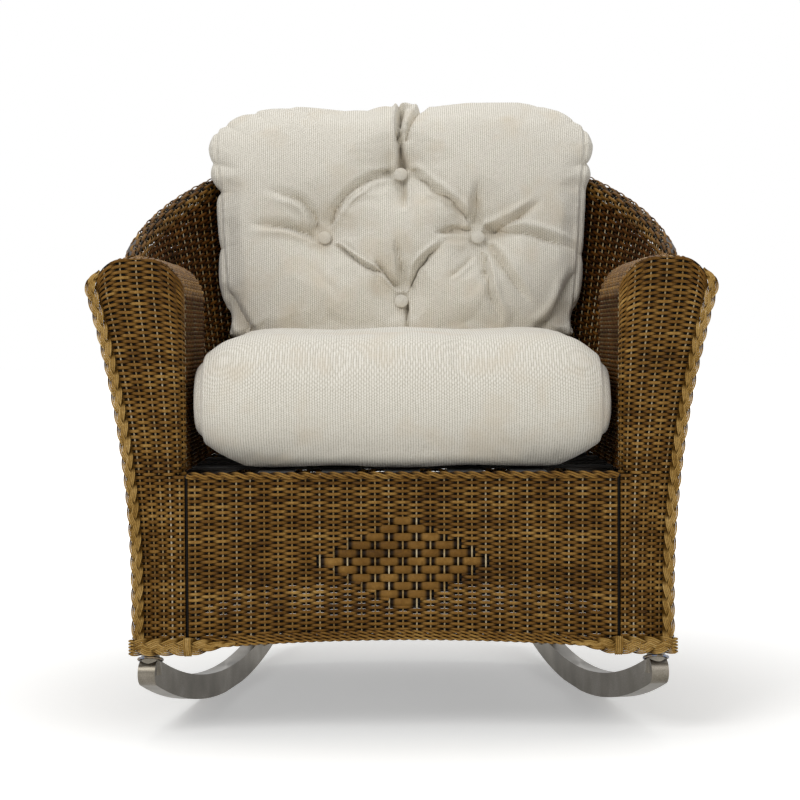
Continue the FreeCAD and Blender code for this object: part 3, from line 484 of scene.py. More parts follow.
def front_head(across, up):
    """The arm front above the seat, from the rounding at the seat to the outer edge."""
    corner = OPENING_HALF + CORNER_RADIUS
    radius = CORNER_RADIUS - MIDDLE
    arc = radius * math.pi / 2
    near = np.full_like(np.asarray(up, float), FOOT_HALF)
    far = near + SHOULDER_X + SHOULDER_RADIUS - FOOT_HALF
    for _ in range(EDGE_HALVINGS):
        edge = mix(near, far, 0.5)
        inside = outline_x(front_height(edge, up)) > edge
        near = np.where(inside, edge, near)
        far = np.where(inside, far, edge)
    run = across * (arc + edge - corner)
    turn = np.clip(run / radius, 0, math.pi / 2)
    past = np.clip(run - arc, 0, None)
    x = corner - radius * np.cos(turn) + past
    y = FRONT_Y + CORNER_RADIUS - radius * np.sin(turn)
    return stack(x, y, front_height(corner - CORNER_RADIUS * np.cos(turn) + past, up))


def smooth(share):
    """A share eased at both ends."""
    share = np.clip(share, 0, 1)
    return share * share * (3 - 2 * share)


def base_point(turn):
    """The plan of the tub at its foot, by angle from the arm's end."""
    return stack(
        BASE_HALF * np.sign(np.cos(turn)) * np.abs(np.cos(turn))**BASE_POWER,
        ARM_END_Y + BASE_REACH * np.abs(np.sin(turn))**BASE_POWER, SKIRT_Z,
    )


def rim_point(turn):
    """The middle of the rim tube."""
    return stack(RIM_HALF * np.cos(turn), ARM_END_Y + RIM_REACH * np.sin(turn),
                 RIM_Z + RIM_RISE * np.sin(turn))


def rim_along(turn):
    """The direction of the rim tube."""
    return unit(stack(-RIM_HALF * np.sin(turn), RIM_REACH * np.cos(turn), RIM_RISE * np.cos(turn)))


def inward(turn):
    """The level direction into the tub."""
    return unit(stack(-np.cos(turn) / RIM_HALF, -np.sin(turn) / RIM_REACH, 0))


def skin_top(turn):
    """The upper edge of the tub's skin, just under the rim tube."""
    stake = unit(rim_point(turn) - base_point(turn))
    slant = np.linalg.norm(np.cross(rim_along(turn), stake), axis=-1, keepdims=True)
    return rim_point(turn) - stake * (RIM_RADIUS + RIM_CLEARANCE) / slant


RIM_END = skin_top(np.array(0.0))
RIM_CREST_Z = RIM_Z + RIM_RADIUS + 0.5 + MIDDLE


def arm_edges(y):
    """(x, z) of the outer edge, the two crest edges and the inner edge of the arm top at a depth."""
    share = smooth((y - BLEND_START_Y) / (ARM_END_Y - BLEND_START_Y))
    front = ((MEET_X, MEET_Z), (SHOULDER_X, CREST_Z), (OPENING_HALF + INNER_RADIUS, CREST_Z),
             (OPENING_HALF, CREST_Z - INNER_RADIUS))
    inner_x = RIM_END[0] - INNER_SET_IN
    rear = ((RIM_END[0], RIM_END[2]), (RIM_END[0] - MIDDLE, RIM_CREST_Z), (inner_x + MIDDLE, RIM_CREST_Z),
            (inner_x, RIM_END[2]))
    return [(mix(a[0], b[0], share), mix(a[1], b[1], share)) for a, b in zip(front, rear)]


def arm_inside(across, up):
    """The inner face of the arm, from the seat to the arm top."""
    y = mix(FRONT_Y + CORNER_RADIUS, ARM_END_Y, across)
    edge = arm_edges(y)[3]
    return stack(mix(OPENING_HALF, edge[0], up) + MIDDLE, y, mix(SEAT_BASE_Z, edge[1], up))


def arm_side(across, up):
    """The outer face of the arm: flared in front, nearly flat where it meets the tub."""
    y = mix(FRONT_Y + SIDE_START, ARM_END_Y, across)
    half_turn = -MEET_ANGLE / 2
    bulge_z = FLARE_START_Z + FLARE_RADIUS * math.sin(half_turn)
    bulge_x = SIDE_FOOT_X + FLARE_RADIUS * (1 - math.cos(half_turn))
    rim_x = mix(BASE_HALF, RIM_HALF, (bulge_z - SKIRT_Z) / (RIM_Z - SKIRT_Z))
    top_x, top_z = arm_edges(y)[0]
    low_x = mix(SIDE_FOOT_X, BASE_HALF, across)
    middle_x = mix(bulge_x, rim_x, across)
    z = mix(SKIRT_Z, top_z, up)
    x = (low_x * (z - bulge_z) * (z - top_z) / ((SKIRT_Z - bulge_z) * (SKIRT_Z - top_z))
         + middle_x * (z - SKIRT_Z) * (z - top_z) / ((bulge_z - SKIRT_Z) * (bulge_z - top_z))
         + top_x * (z - SKIRT_Z) * (z - bulge_z) / ((top_z - SKIRT_Z) * (top_z - bulge_z)))
    return stack(x - MIDDLE, y, z)


TOP_OUTER_SHARE = 0.38
TOP_INNER_SHARE = 0.53


def arm_top_section(y, over):
    """A point over the arm top at a depth, over going from the outer edge across to the inner edge."""
    outer, crest_out, crest_in, inner = arm_edges(y)
    rise = np.clip(over / TOP_OUTER_SHARE, 0, 1) * math.pi / 2
    level = np.clip((over - TOP_OUTER_SHARE) / (TOP_INNER_SHARE - TOP_OUTER_SHARE), 0, 1)
    fall = np.clip((1 - over) / (1 - TOP_INNER_SHARE), 0, 1) * math.pi / 2
    on_outer = over < TOP_OUTER_SHARE
    on_inner = over > TOP_INNER_SHARE
    x = np.where(on_outer, mix(outer[0], crest_out[0], 1 - np.cos(rise)),
                 np.where(on_inner, mix(inner[0], crest_in[0], 1 - np.cos(fall)),
                          mix(crest_out[0], crest_in[0], level)))
    z = np.where(on_outer, mix(outer[1], crest_out[1], np.sin(rise)),
                 np.where(on_inner, mix(inner[1], crest_in[1], np.sin(fall)), crest_out[1]))
    out_x = np.where(on_outer, np.cos(rise), np.where(on_inner, -np.cos(fall), 0))
    out_z = np.where(on_outer, np.sin(rise), np.where(on_inner, np.sin(fall), 1))
    return stack(x, y, z), stack(out_x, 0, out_z)


def arm_top(across, up):
    """The arm top, its rows running back from the rounded front edge."""
    front = arm_top_section(np.full_like(np.asarray(up, float), SKIN_BACK_Y), up)[0][..., 0]
    set_back = np.clip(OPENING_HALF + CORNER_RADIUS - front, 0, CORNER_RADIUS)
    start = FRONT_Y + MIDDLE + CORNER_RADIUS - np.sqrt(CORNER_RADIUS**2 - set_back**2)
    points, out = arm_top_section(mix(start, ARM_END_Y, across), up)
    return points - out * MIDDLE


def tub_outer(turn, up):
    """The tub's outer skin by angle."""
    up = np.asarray(up, float)[..., None]
    return mix(base_point(turn), skin_top(turn), up) + inward(turn) * MIDDLE


def tub_inner(turn, up):
    """The wing's inner skin: it leaves the arm's inner face and closes on the outer skin."""
    share = (SEAT_BASE_Z - SKIRT_Z) / (RIM_Z - SKIRT_Z)
    widest = mix(BASE_HALF, RIM_HALF, share) - OPENING_HALF - INNER_SET_IN
    low = base_point(turn)
    high = rim_point(turn)
    low = low + (high - low) * ((SEAT_BASE_Z - low[..., 2]) / (high[..., 2] - low[..., 2]))[..., None]
    fade = (np.cos(turn * math.pi / 2 / math.radians(RIM_ANGLES[1]))**2)[..., None]
    low = low + inward(turn) * (INNER_SET_IN + widest * fade)
    top = skin_top(turn) + inward(turn) * INNER_SET_IN
    return mix(low, top, np.asarray(up, float)[..., None]) - inward(turn) * MIDDLE


def turned(place, first, last):
    """A tub surface as place(across, up) between two angles in degrees."""
    return lambda across, up: place(np.radians(mix(first, last, np.asarray(across, float))), up)


def apron_low(x):
    """The apron's arched lower edge."""
    half = OPENING_HALF - 0.5
    return APRON_CORNER_Z + APRON_RISE * (1 - (x / half)**2)


def apron(across, up):
    """The apron between the arms, its lower rows arched."""
    x = mix(JOINT_HALF - OPENING_HALF, OPENING_HALF - JOINT_HALF, np.asarray(across, float))
    z = mix(apron_low(x), APRON_TOP_Z, up)
    return stack(x, FRONT_Y + MIDDLE, z)


# The apron's diamond of wide strips, between which the ordinary rows stop.
APRON_COLUMNS = 31
APRON_PITCH = 2 * (OPENING_HALF - JOINT_HALF) / APRON_COLUMNS
DIAMOND_Z = 249.0
DIAMOND_ROW = 11.5
DIAMOND_REACH = 6
STRIP_HEIGHT = 12.6
STRIP_THICKNESS = 1.6
# How far, in stakes, a strip runs past its last stake, and its guide points for each stake.
STRIP_END = 1.1
STRIP_SAMPLES = 16
# The black strips of painted shade behind the strips and the joints: their height, how much longer a row of
# them is, and their tint.
PAINTED_SHADE_HEIGHT = 15.5
PAINTED_SHADE_END = 0.45
PAINTED_SHADE_NARROW = 0.7
PLAIN_TINT = 0.5


def in_diamond(points):
    """Which points lie where the wide strips are."""
    step = np.abs(np.round((points[:, 2] - DIAMOND_Z) / DIAMOND_ROW))
    return np.abs(points[:, 0]) < (DIAMOND_REACH - step) * APRON_PITCH


def diamond_strips():
    """Wide strips over and under the apron's stakes, fewer in each row away from the middle."""
    strips = []
    chance = random.Random(5)
    for row in range(1 - DIAMOND_REACH, DIAMOND_REACH):
        count = DIAMOND_REACH - abs(row)
        reach = count - 1 + STRIP_END
        crossing = np.linspace(-reach, reach, int(reach * STRIP_SAMPLES) + 1)
        points = stack(crossing * APRON_PITCH, FRONT_Y + MIDDLE, DIAMOND_Z + row * DIAMOND_ROW)
        lay_strand(strips, points, FORWARD, chance.random(), crossing + count - 1)
    return strips


def painted_shade_lining():
    """Strips painted black as shade behind the wide strips and behind the joint between the apron and each
    arm.
    """
    strips = []
    for row in range(1 - DIAMOND_REACH, DIAMOND_REACH):
        half = (DIAMOND_REACH - abs(row) + PAINTED_SHADE_END) * APRON_PITCH
        x = np.linspace(-half, half, 8)
        points = stack(x, FRONT_Y + SKIN + 0.6, DIAMOND_Z + row * DIAMOND_ROW)
        # A crossing of one puts them fully behind, so they take the full painted shade.
        lay_strand(strips, points, FORWARD, PLAIN_TINT, 1.0)
    for side in (-1, 1):
        z = np.linspace(SKIRT_Z + 1, APRON_TOP_Z - 3, 12)
        points = stack(side * OPENING_HALF, FRONT_Y + SKIN - 0.6, z)
        lay_strand(strips, points, FORWARD, PLAIN_TINT, 1.0, PAINTED_SHADE_NARROW)
    return strips


woven_piece("apron_painted_shade", painted_shade_lining(), "woven_wicker",
            height=PAINTED_SHADE_HEIGHT, thickness=1.0, depth=0.0)
APRON_ROWS = np.linspace(0.012, 0.985, 59)
woven_piece("apron_woven", weave(apron, APRON_ROWS, APRON_COLUMNS, 4, 1, 11, skip=in_diamond), "woven_wicker",
            "apron_weave")
woven_piece("apron_wide_strips", diamond_strips(), "woven_wicker",
            height=STRIP_HEIGHT, thickness=STRIP_THICKNESS, strand=STRIP)

FRONT_FOOT_ROWS = np.linspace(0.0, 0.99, 57)
FRONT_HEAD_ROWS = np.linspace(0.006, 0.985, 75)
INSIDE_ROWS = np.linspace(0.004, 0.992, 40)
SIDE_ROWS = np.linspace(0.004, 0.992, 118)
TUB_ROWS = np.linspace(0.004, 0.994, 160)
WING_ROWS = np.linspace(0.004, 0.992, 72)
TOP_ROWS = np.linspace(0.012, 0.988, 38)

arm_parts = {
    "arm_front": (weave(front_foot, FRONT_FOOT_ROWS, 5, 4, 1, 21)
                  + weave(front_head, FRONT_HEAD_ROWS, 6, 4, 1, 22)),
    "arm_inside": weave(arm_inside, INSIDE_ROWS, 20, 4, -1, 23),
    "arm_side": weave(arm_side, SIDE_ROWS, 20, 3, 1, 24),
    "arm_top": weave(arm_top, TOP_ROWS, 20, 4, 1, 25),
    "wing_outer": weave(turned(tub_outer, 0, 60), TUB_ROWS, 23, 3, 1, 26),
    "wing_inner": weave(turned(tub_inner, 0, 60), WING_ROWS, 22, 4, -1, 27),
}
for part, strands in arm_parts.items():
    open_shaded_weave = {}
    # The inner faces take the darker copy of the wicker, painted shade, and a more open weave.
    if part in ("arm_inside", "wing_inner"):
        open_shaded_weave = {"height": INNER_HEIGHT, "thickness": INNER_THICKNESS, "strand": SHADED_INNER_WICKER}
    woven_pair(part + "_woven", strands, "woven_wicker", part + "_weave", **open_shaded_weave)
woven_piece("back_woven", weave(turned(tub_outer, 60, 120), TUB_ROWS, 24, 3, 1, 28), "woven_wicker",
            "back_weave")


# The weave runs on over the rim tube, from the inner skin round to the outer one.
BAND_RADIUS = RIM_RADIUS + 3.0
BAND_ROWS = 16
BAND_SHARES = (0.16, 0.84)
# How far round the tube the band goes, in half turns.
BAND_TURN = 1.35


def rim_band(inner_set_in):
    """place(turn, up): up goes from the inner skin's upper edge over the tube to the outer skin's."""
    def place(turn, up):
        along = rim_along(turn)
        into = inward(turn)
        into = unit(into - along * np.sum(into * along, axis=-1, keepdims=True))
        above = np.cross(into, along) * np.sign(np.cross(into, along)[..., 2:])
        low = skin_top(turn)
        start = low + into * inner_set_in
        finish = low + into * MIDDLE
        up = np.asarray(up, float)
        first, last = BAND_SHARES
        angle = (np.clip((up - first) / (last - first), 0, 1) * BAND_TURN * math.pi)[..., None]
        wound = rim_point(turn) + (into * np.cos(angle) + above * np.sin(angle)) * BAND_RADIUS
        lead = np.clip(up / first, 0, 1)[..., None]
        tail = np.clip((up - last) / (1 - last), 0, 1)[..., None]
        return mix(mix(start, wound, lead), finish, tail)
    return place


WING_BAND = rim_band(INNER_SET_IN - MIDDLE)
BACK_BAND = rim_band(MIDDLE)
BAND_STEPS = np.linspace(0.0, 1.0, BAND_ROWS)
woven_pair("rim_band", weave(turned(WING_BAND, 0, 60), BAND_STEPS, 23, 4, -1, 31), "woven_wicker")
woven_piece("rim_band_top", weave(turned(BACK_BAND, 60, 120), BAND_STEPS, 24, 4, -1, 32), "woven_wicker")


# Braids: bundles of reeds plaited over each other along a route.
REED_SPACING = 1.02
THINNEST_REED = 0.45
ROUTE_STEP = 2.2


def plait(route, pitch, lateral, depth, reeds, reed, chance, bundles=3, taper=1.0):
    """Guide lines of a plait; lateral and depth are how far a bundle swings, taper draws everything in."""
    along = unit(np.gradient(route, axis=0))
    across = unit(np.cross(along, FORWARD))
    run = distances(route)
    taper = np.broadcast_to(taper, len(route))
    strands = []
    for bundle in range(bundles):
        turn = 2 * math.pi * (run / pitch + bundle / bundles)
        swing = lateral * np.sin(turn)
        slope = 2 * math.pi / pitch * lateral * np.cos(turn)
        lift = depth * (np.sin(2 * turn) if bundles == 3 else np.cos(turn))
        lean = np.hypot(1, slope)
        for index in range(reeds):
            place = (index - (reeds - 1) / 2) * reed * REED_SPACING
            sideways = (swing + place / lean) * taper
            points = (route + along * (-place * slope / lean * taper)[:, None] + across * sideways[:, None]
                      + FORWARD * (lift * taper)[:, None])
            # The braids and borders lie unbowed, so this crossing only sets painted shade where a reed dives
            # under the others.
            under = np.arccos(np.clip(lift / depth, -1, 1)) / math.pi
            lay_strand(strands, points, FORWARD, chance.random(), under,
                       THINNEST_REED + (1 - THINNEST_REED) * taper)
    return strands


def spaced(route, step):
    """The route's points at even steps."""
    lengths = distances(route)
    wanted = np.linspace(0, lengths[-1], max(3, int(lengths[-1] / step)))
    return np.stack([np.interp(wanted, lengths, route[:, axis]) for axis in range(3)], axis=1)


# The braid down the arm's outer edge stands proud of it by its growth, and ends on the shoulder.
EDGE_GROWTH = 6.5
EDGE_START_Z = 141.0
EDGE_END_DEGREES = 26.0
EDGE_Y = FRONT_Y - 3.0
EDGE_REED = 2.2
EDGE_PLAIT = {"pitch": 69, "lateral": 4.4, "depth": 2.6, "reeds": 4, "reed": EDGE_REED}
EDGE_SAMPLES = 60
SHOULDER_SAMPLES = 24
# From this angle on it tucks back and in behind the crest, and its last share thins out.
TUCK_DEGREES = 4.0
TUCK_BACK = 14.0
TUCK_IN = 7.0
EDGE_THINNING = 0.6
EDGE_THINS_FROM = 0.93


def edge_braid():
    """The braid down the arm's outer edge, from its foot round the shoulder."""
    z = np.linspace(EDGE_START_Z, MEET_Z, EDGE_SAMPLES)
    turn = np.linspace(MEET_ANGLE, math.radians(EDGE_END_DEGREES), SHOULDER_SAMPLES)[1:]
    radius = SHOULDER_RADIUS + EDGE_GROWTH
    tuck = smooth((turn - math.radians(TUCK_DEGREES)) / math.radians(EDGE_END_DEGREES - TUCK_DEGREES))
    x = np.concatenate([outline_x(z) + EDGE_GROWTH, SHOULDER_X + radius * np.cos(turn) - TUCK_IN * tuck])
    y = np.concatenate([np.full(EDGE_SAMPLES, EDGE_Y), EDGE_Y + TUCK_BACK * tuck])
    z = np.concatenate([z, CREST_Z - SHOULDER_RADIUS + radius * np.sin(turn)])
    route = spaced(stack(x, y, z), ROUTE_STEP)
    share = np.linspace(0, 1, len(route))
    taper = 1 - EDGE_THINNING * smooth((share - EDGE_THINS_FROM) / (1 - EDGE_THINS_FROM))
    return plait(route, chance=random.Random(41), taper=taper, **EDGE_PLAIT)


# The braid under the arm front runs from its outer corner to its tip under the apron.
FOOT_REED = 2.6
FOOT_PLAIT = {"pitch": 66, "lateral": 6.0, "depth": 3.0, "reeds": 5, "reed": FOOT_REED}
FOOT_Y = FRONT_Y - 5.5
FOOT_MIDDLE_Z = 130.5
FOOT_OUTER_X = 381.0
FOOT_TAIL_X = 300.0
FOOT_TIP_X = 236.0
TAIL_BACK = 2.5
TAIL_RISE = 3.5
TAIL_THINNING = 0.8
TAIL_HASTE = 1.05
# The binding at the head of the tail: its turns, their pitch and slant, and half its depth and height.
BINDING_TURNS = 4
BINDING_X = FOOT_TAIL_X + 8
BINDING_PITCH = 2.7
BINDING_SLANT = 1.2
BINDING_DEPTH = 6.6
BINDING_HEIGHT = 12.2
# The loops that close the braid round its outer corner.
LOOP_COUNT = 5
LOOP_X = FOOT_OUTER_X - 3
LOOP_RADIUS = 6.5
LOOP_SPACING = 1.7
LOOP_WIDTH = 1.1


def tail_share(x):
    """How far down the tail of the foot braid a point is."""
    return np.clip((FOOT_TAIL_X - x) / (FOOT_TAIL_X - FOOT_TIP_X), 0, 1)


def foot_braid():
    """The braid under the arm front: plaited, then a bound bundle that runs to a point under the apron."""
    x = np.linspace(FOOT_OUTER_X, FOOT_TIP_X, 90)
    tail = tail_share(x)
    route = spaced(stack(x, FOOT_Y + TAIL_BACK * tail, FOOT_MIDDLE_Z + TAIL_RISE * smooth(tail)), ROUTE_STEP)
    taper = 1 - TAIL_THINNING * smooth(tail_share(route[:, 0]) * TAIL_HASTE)
    chance = random.Random(43)
    strands = plait(route, chance=chance, taper=taper, **FOOT_PLAIT)
    turn = np.linspace(0, 2 * math.pi, 25)
    for index in range(BINDING_TURNS):
        middle = BINDING_X - index * BINDING_PITCH
        points = stack(middle - BINDING_SLANT * turn / math.pi, FOOT_Y + BINDING_DEPTH * np.cos(turn),
                       FOOT_MIDDLE_Z + BINDING_HEIGHT * np.sin(turn))
        facing = unit(stack(0, BINDING_HEIGHT * np.cos(turn), BINDING_DEPTH * np.sin(turn)))
        lay_strand(strands, points, facing, chance.random())
    turn = np.linspace(-math.pi / 2, math.pi / 2, 13)
    for index in range(LOOP_COUNT):
        rise = (index - LOOP_COUNT // 2) * FOOT_REED * LOOP_SPACING
        facing = unit(stack(np.cos(turn), np.sin(turn), 0))
        points = facing * LOOP_RADIUS + (LOOP_X, FOOT_Y, FOOT_MIDDLE_Z + rise)
        lay_strand(strands, points, facing, chance.random(), width=LOOP_WIDTH)
    return strands


for part, braid, reed in (("edge", edge_braid(), EDGE_REED), ("foot", foot_braid(), FOOT_REED)):
    woven_pair(f"arm_{part}_plait", braid, "braid_wicker", f"arm_{part}_braid", **round_reed(reed, BRAID))

# The rolled borders: one thick one under the apron's top, three fine ones over its arched lower edge.
BORDER_REED = 3.0
BORDER_STEP = 2.4
BORDER_STAND = 0.5
BORDER_LIFT = 0.8
TOP_BORDER_Z = 370.5
TOP_BORDER_SWING = 2.6
LOW_BORDER_PITCH = 26
LOW_BORDER_SWING = 1.3
LOW_BORDER_RISES = (1.6, 6.4, 11.2)


def rolled_border(height, y, pitch, swing, chance, reeds=1):
    """A two-reed twist across the apron at height(x)."""
    x = np.linspace(1 - OPENING_HALF, OPENING_HALF - 1, 400)
    route = spaced(stack(x, y, height(x)), BORDER_STEP)
    return plait(route, pitch, swing, swing * BORDER_LIFT, reeds, BORDER_REED, chance, bundles=2)


border_chance = random.Random(47)
borders = rolled_border(lambda x: TOP_BORDER_Z, FRONT_Y + BORDER_STAND, 2 * APRON_PITCH, TOP_BORDER_SWING,
                        border_chance, 2)
for rise in LOW_BORDER_RISES:
    borders += rolled_border(lambda x, rise=rise: apron_low(x) + rise, FRONT_Y - BORDER_STAND,
                             LOW_BORDER_PITCH, LOW_BORDER_SWING, border_chance)
woven_piece("apron_borders", borders, "woven_wicker", **round_reed(BORDER_REED, BORDER))


# Cushions: the filling's own form, swollen as cloth under pressure, then creased and seamed.
MERGE_MM = 0.2
PRESSURE = 4
CLOTH_QUALITY = 4
CLOTH_FRAMES = 20


def even_mesh(name, source, voxel_mm):
    """A copy of a solid as one even net of squares."""
    copied = source.data.copy()
    form = bmesh.new()
    form.from_mesh(copied)
    bmesh.ops.remove_doubles(form, verts=form.verts, dist=MERGE_MM * MM)
    form.to_mesh(copied)
    form.free()
    piece = bpy.data.objects.new(name, copied)
    bpy.context.scene.collection.objects.link(piece)
    remesh = piece.modifiers.new("even_net", "REMESH")
    remesh.mode = "VOXEL"
    remesh.voxel_size = voxel_mm * MM
    return applied(piece)


def applied(piece):
    """The piece with its modifiers made part of its mesh."""
    evaluated = piece.evaluated_get(bpy.context.evaluated_depsgraph_get())
    mesh = bpy.data.meshes.new_from_object(evaluated)
    piece.modifiers.clear()
    piece.data = mesh
    mesh.name = piece.name
    return piece


def read_points(mesh):
    """The mesh's points in millimetres."""
    points = np.empty(len(mesh.vertices) * 3)
    mesh.vertices.foreach_get("co", points)
    return points.reshape(-1, 3) / MM


def write_points(mesh, points):
    """Moves the mesh's points, given in millimetres."""
    mesh.vertices.foreach_set("co", (points * MM).ravel())
    mesh.update()


def read_normals(mesh):
    """The mesh's normals at its points."""
    normals = np.empty(len(mesh.vertices) * 3)
    mesh.vertices.foreach_get("normal", normals)
    return normals.reshape(-1, 3)


def swell(piece, held, reach):
    """Blows the piece up as cloth; held points stay, and reach caps the travel to each side."""
    start = read_points(piece.data)
    group = piece.vertex_groups.new(name="held")
    group.add([int(index) for index in np.nonzero(held)[0]], 1.0, "REPLACE")
    cloth = piece.modifiers.new("cloth", "CLOTH")
    cloth.settings.vertex_group_mass = group.name
    cloth.settings.use_pressure = True
    cloth.settings.uniform_pressure_force = PRESSURE
    cloth.settings.effector_weights.gravity = 0
    cloth.settings.quality = CLOTH_QUALITY
    for step in range(1, CLOTH_FRAMES + 1):
        bpy.context.scene.frame_set(step)
    applied(piece)
    bpy.context.scene.frame_set(1)
    travel = read_points(piece.data) - start
    low, high = reach
    write_points(piece.data, start + np.clip(travel, -np.asarray(low), np.asarray(high)))
    piece.modifiers.clear()
    piece.vertex_groups.clear()


def mark_panels(mesh):
    """Stores how far each point faces sideways, by which the cloth turns its threads on a side panel."""
    side = mesh.attributes.new("side", "FLOAT", "POINT")
    side.data.foreach_set("value", np.abs(read_normals(mesh)[:, 0]))


def refined(piece):
    """The piece with every square divided once."""
    division = piece.modifiers.new("division", "SUBSURF")
    division.levels = 1
    division.render_levels = 1
    applied(piece)


def line_distance(places, route):
    """How far each place is from a route, how far along it the nearest point lies, and on which side."""
    route = np.asarray(route, float)
    lengths = distances(route)
    nearest = np.full(len(places), 1e9)
    along = np.zeros(len(places))
    side = np.zeros(len(places))
    for index in range(len(route) - 1):
        run = route[index + 1] - route[index]
        length = np.linalg.norm(run)
        share = np.clip((places - route[index]) @ run / length**2, 0, 1)
        apart = places - (route[index] + share[:, None] * run)
        gap = np.linalg.norm(apart, axis=1)
        closer = gap < nearest
        nearest = np.where(closer, gap, nearest)
        along = np.where(closer, (lengths[index] + share * length) / lengths[-1], along)
        side = np.where(closer, np.sign(run[0] * apart[:, 1] - run[1] * apart[:, 0]), side)
    return nearest, along, side


def curved(route, steps=10):
    """A route through its points as one smooth bend."""
    route = np.asarray(route, float)
    if len(route) < 3:
        return route
    padded = np.vstack([2 * route[0] - route[1], route, 2 * route[-1] - route[-2]])
    out = []
    for index in range(1, len(padded) - 2):
        before, first, last, after = padded[index - 1:index + 3]
        for share in np.linspace(0, 1, steps, endpoint=False):
            out.append(0.5 * (2 * first + (last - before) * share
                              + (2 * before - 5 * first + 4 * last - after) * share**2
                              + (3 * first - before - 3 * last + after) * share**3))
    return np.array(out + [route[-1]])


# A fold's section: how its depth and width follow the table's, where it is at full depth along its run, the
# broad dip round the valley, and the lip beside it, all across its width.
FOLD_DEPTH = 1.6
FOLD_SHARPNESS = 0.62
FOLD_START = 0.15
DIP_DEPTH = 0.35
DIP_REACH = 4.0
LIP_AT = 2.0
LIP_REACH = 1.2
LIP_HEIGHT = 0.28
LIP_LEAN = 0.16
# How wide the roll of cloth beside a sewn seam is.
ROLL_WIDTH = 4.0


def crease(points, places, weight, push, route, depth, width, fade):
    """Folds the cloth in along a route: a sharp valley, one lip rolled up higher than the other."""
    gap, along, side = line_distance(places, curved(route))
    ending, starting = fade
    fading = 1 - smooth((along - ending) / (1 - ending))
    strong = FOLD_DEPTH * depth * weight * fading * mix(starting, 1, smooth(along / FOLD_START))
    width = width * FOLD_SHARPNESS
    valley = np.exp(-gap / width) + DIP_DEPTH * np.exp(-(gap / (DIP_REACH * width))**2)
    lip = np.exp(-((gap - LIP_AT * width) / (LIP_REACH * width))**2) * (LIP_HEIGHT + LIP_LEAN * side)
    return points + push * (strong * (valley - lip))[:, None]


def from_table(places, table):
    """Sizes read off a table of (place, size) pairs, evenly between them."""
    known, sizes = np.array(table, float).T
    return np.interp(places, known, sizes)


def seam(gap, depth, width, roll, roll_at):
    """How deep a sewn seam lies at a distance from it, with the roll of cloth beside it."""
    return depth * np.exp(-(gap / width)**2) - roll * np.exp(-((gap - roll_at) / ROLL_WIDTH)**2)


# Cushion covers: a heavy outdoor acrylic in a basket weave, ivory with warmer threads,
# dull and finely ribbed. Below: how far its threads wander, how much the weft and the flecks count against the
# ribs, the sums that make its darkest and lightest tone, and the size of its warmer patches.
WANDER_MM = 30
WANDER_BY_MM = 2.0
PANEL_FACING = 0.7
WEFT_SHARE = 0.55
FLECK_MM = 2.2
FLECK_SHARE = 2.6
CLOTH_RANGE = (-0.4, 3.0)
PATCH_MM = 60
CLOTH_DEPTH_MM = 0.5


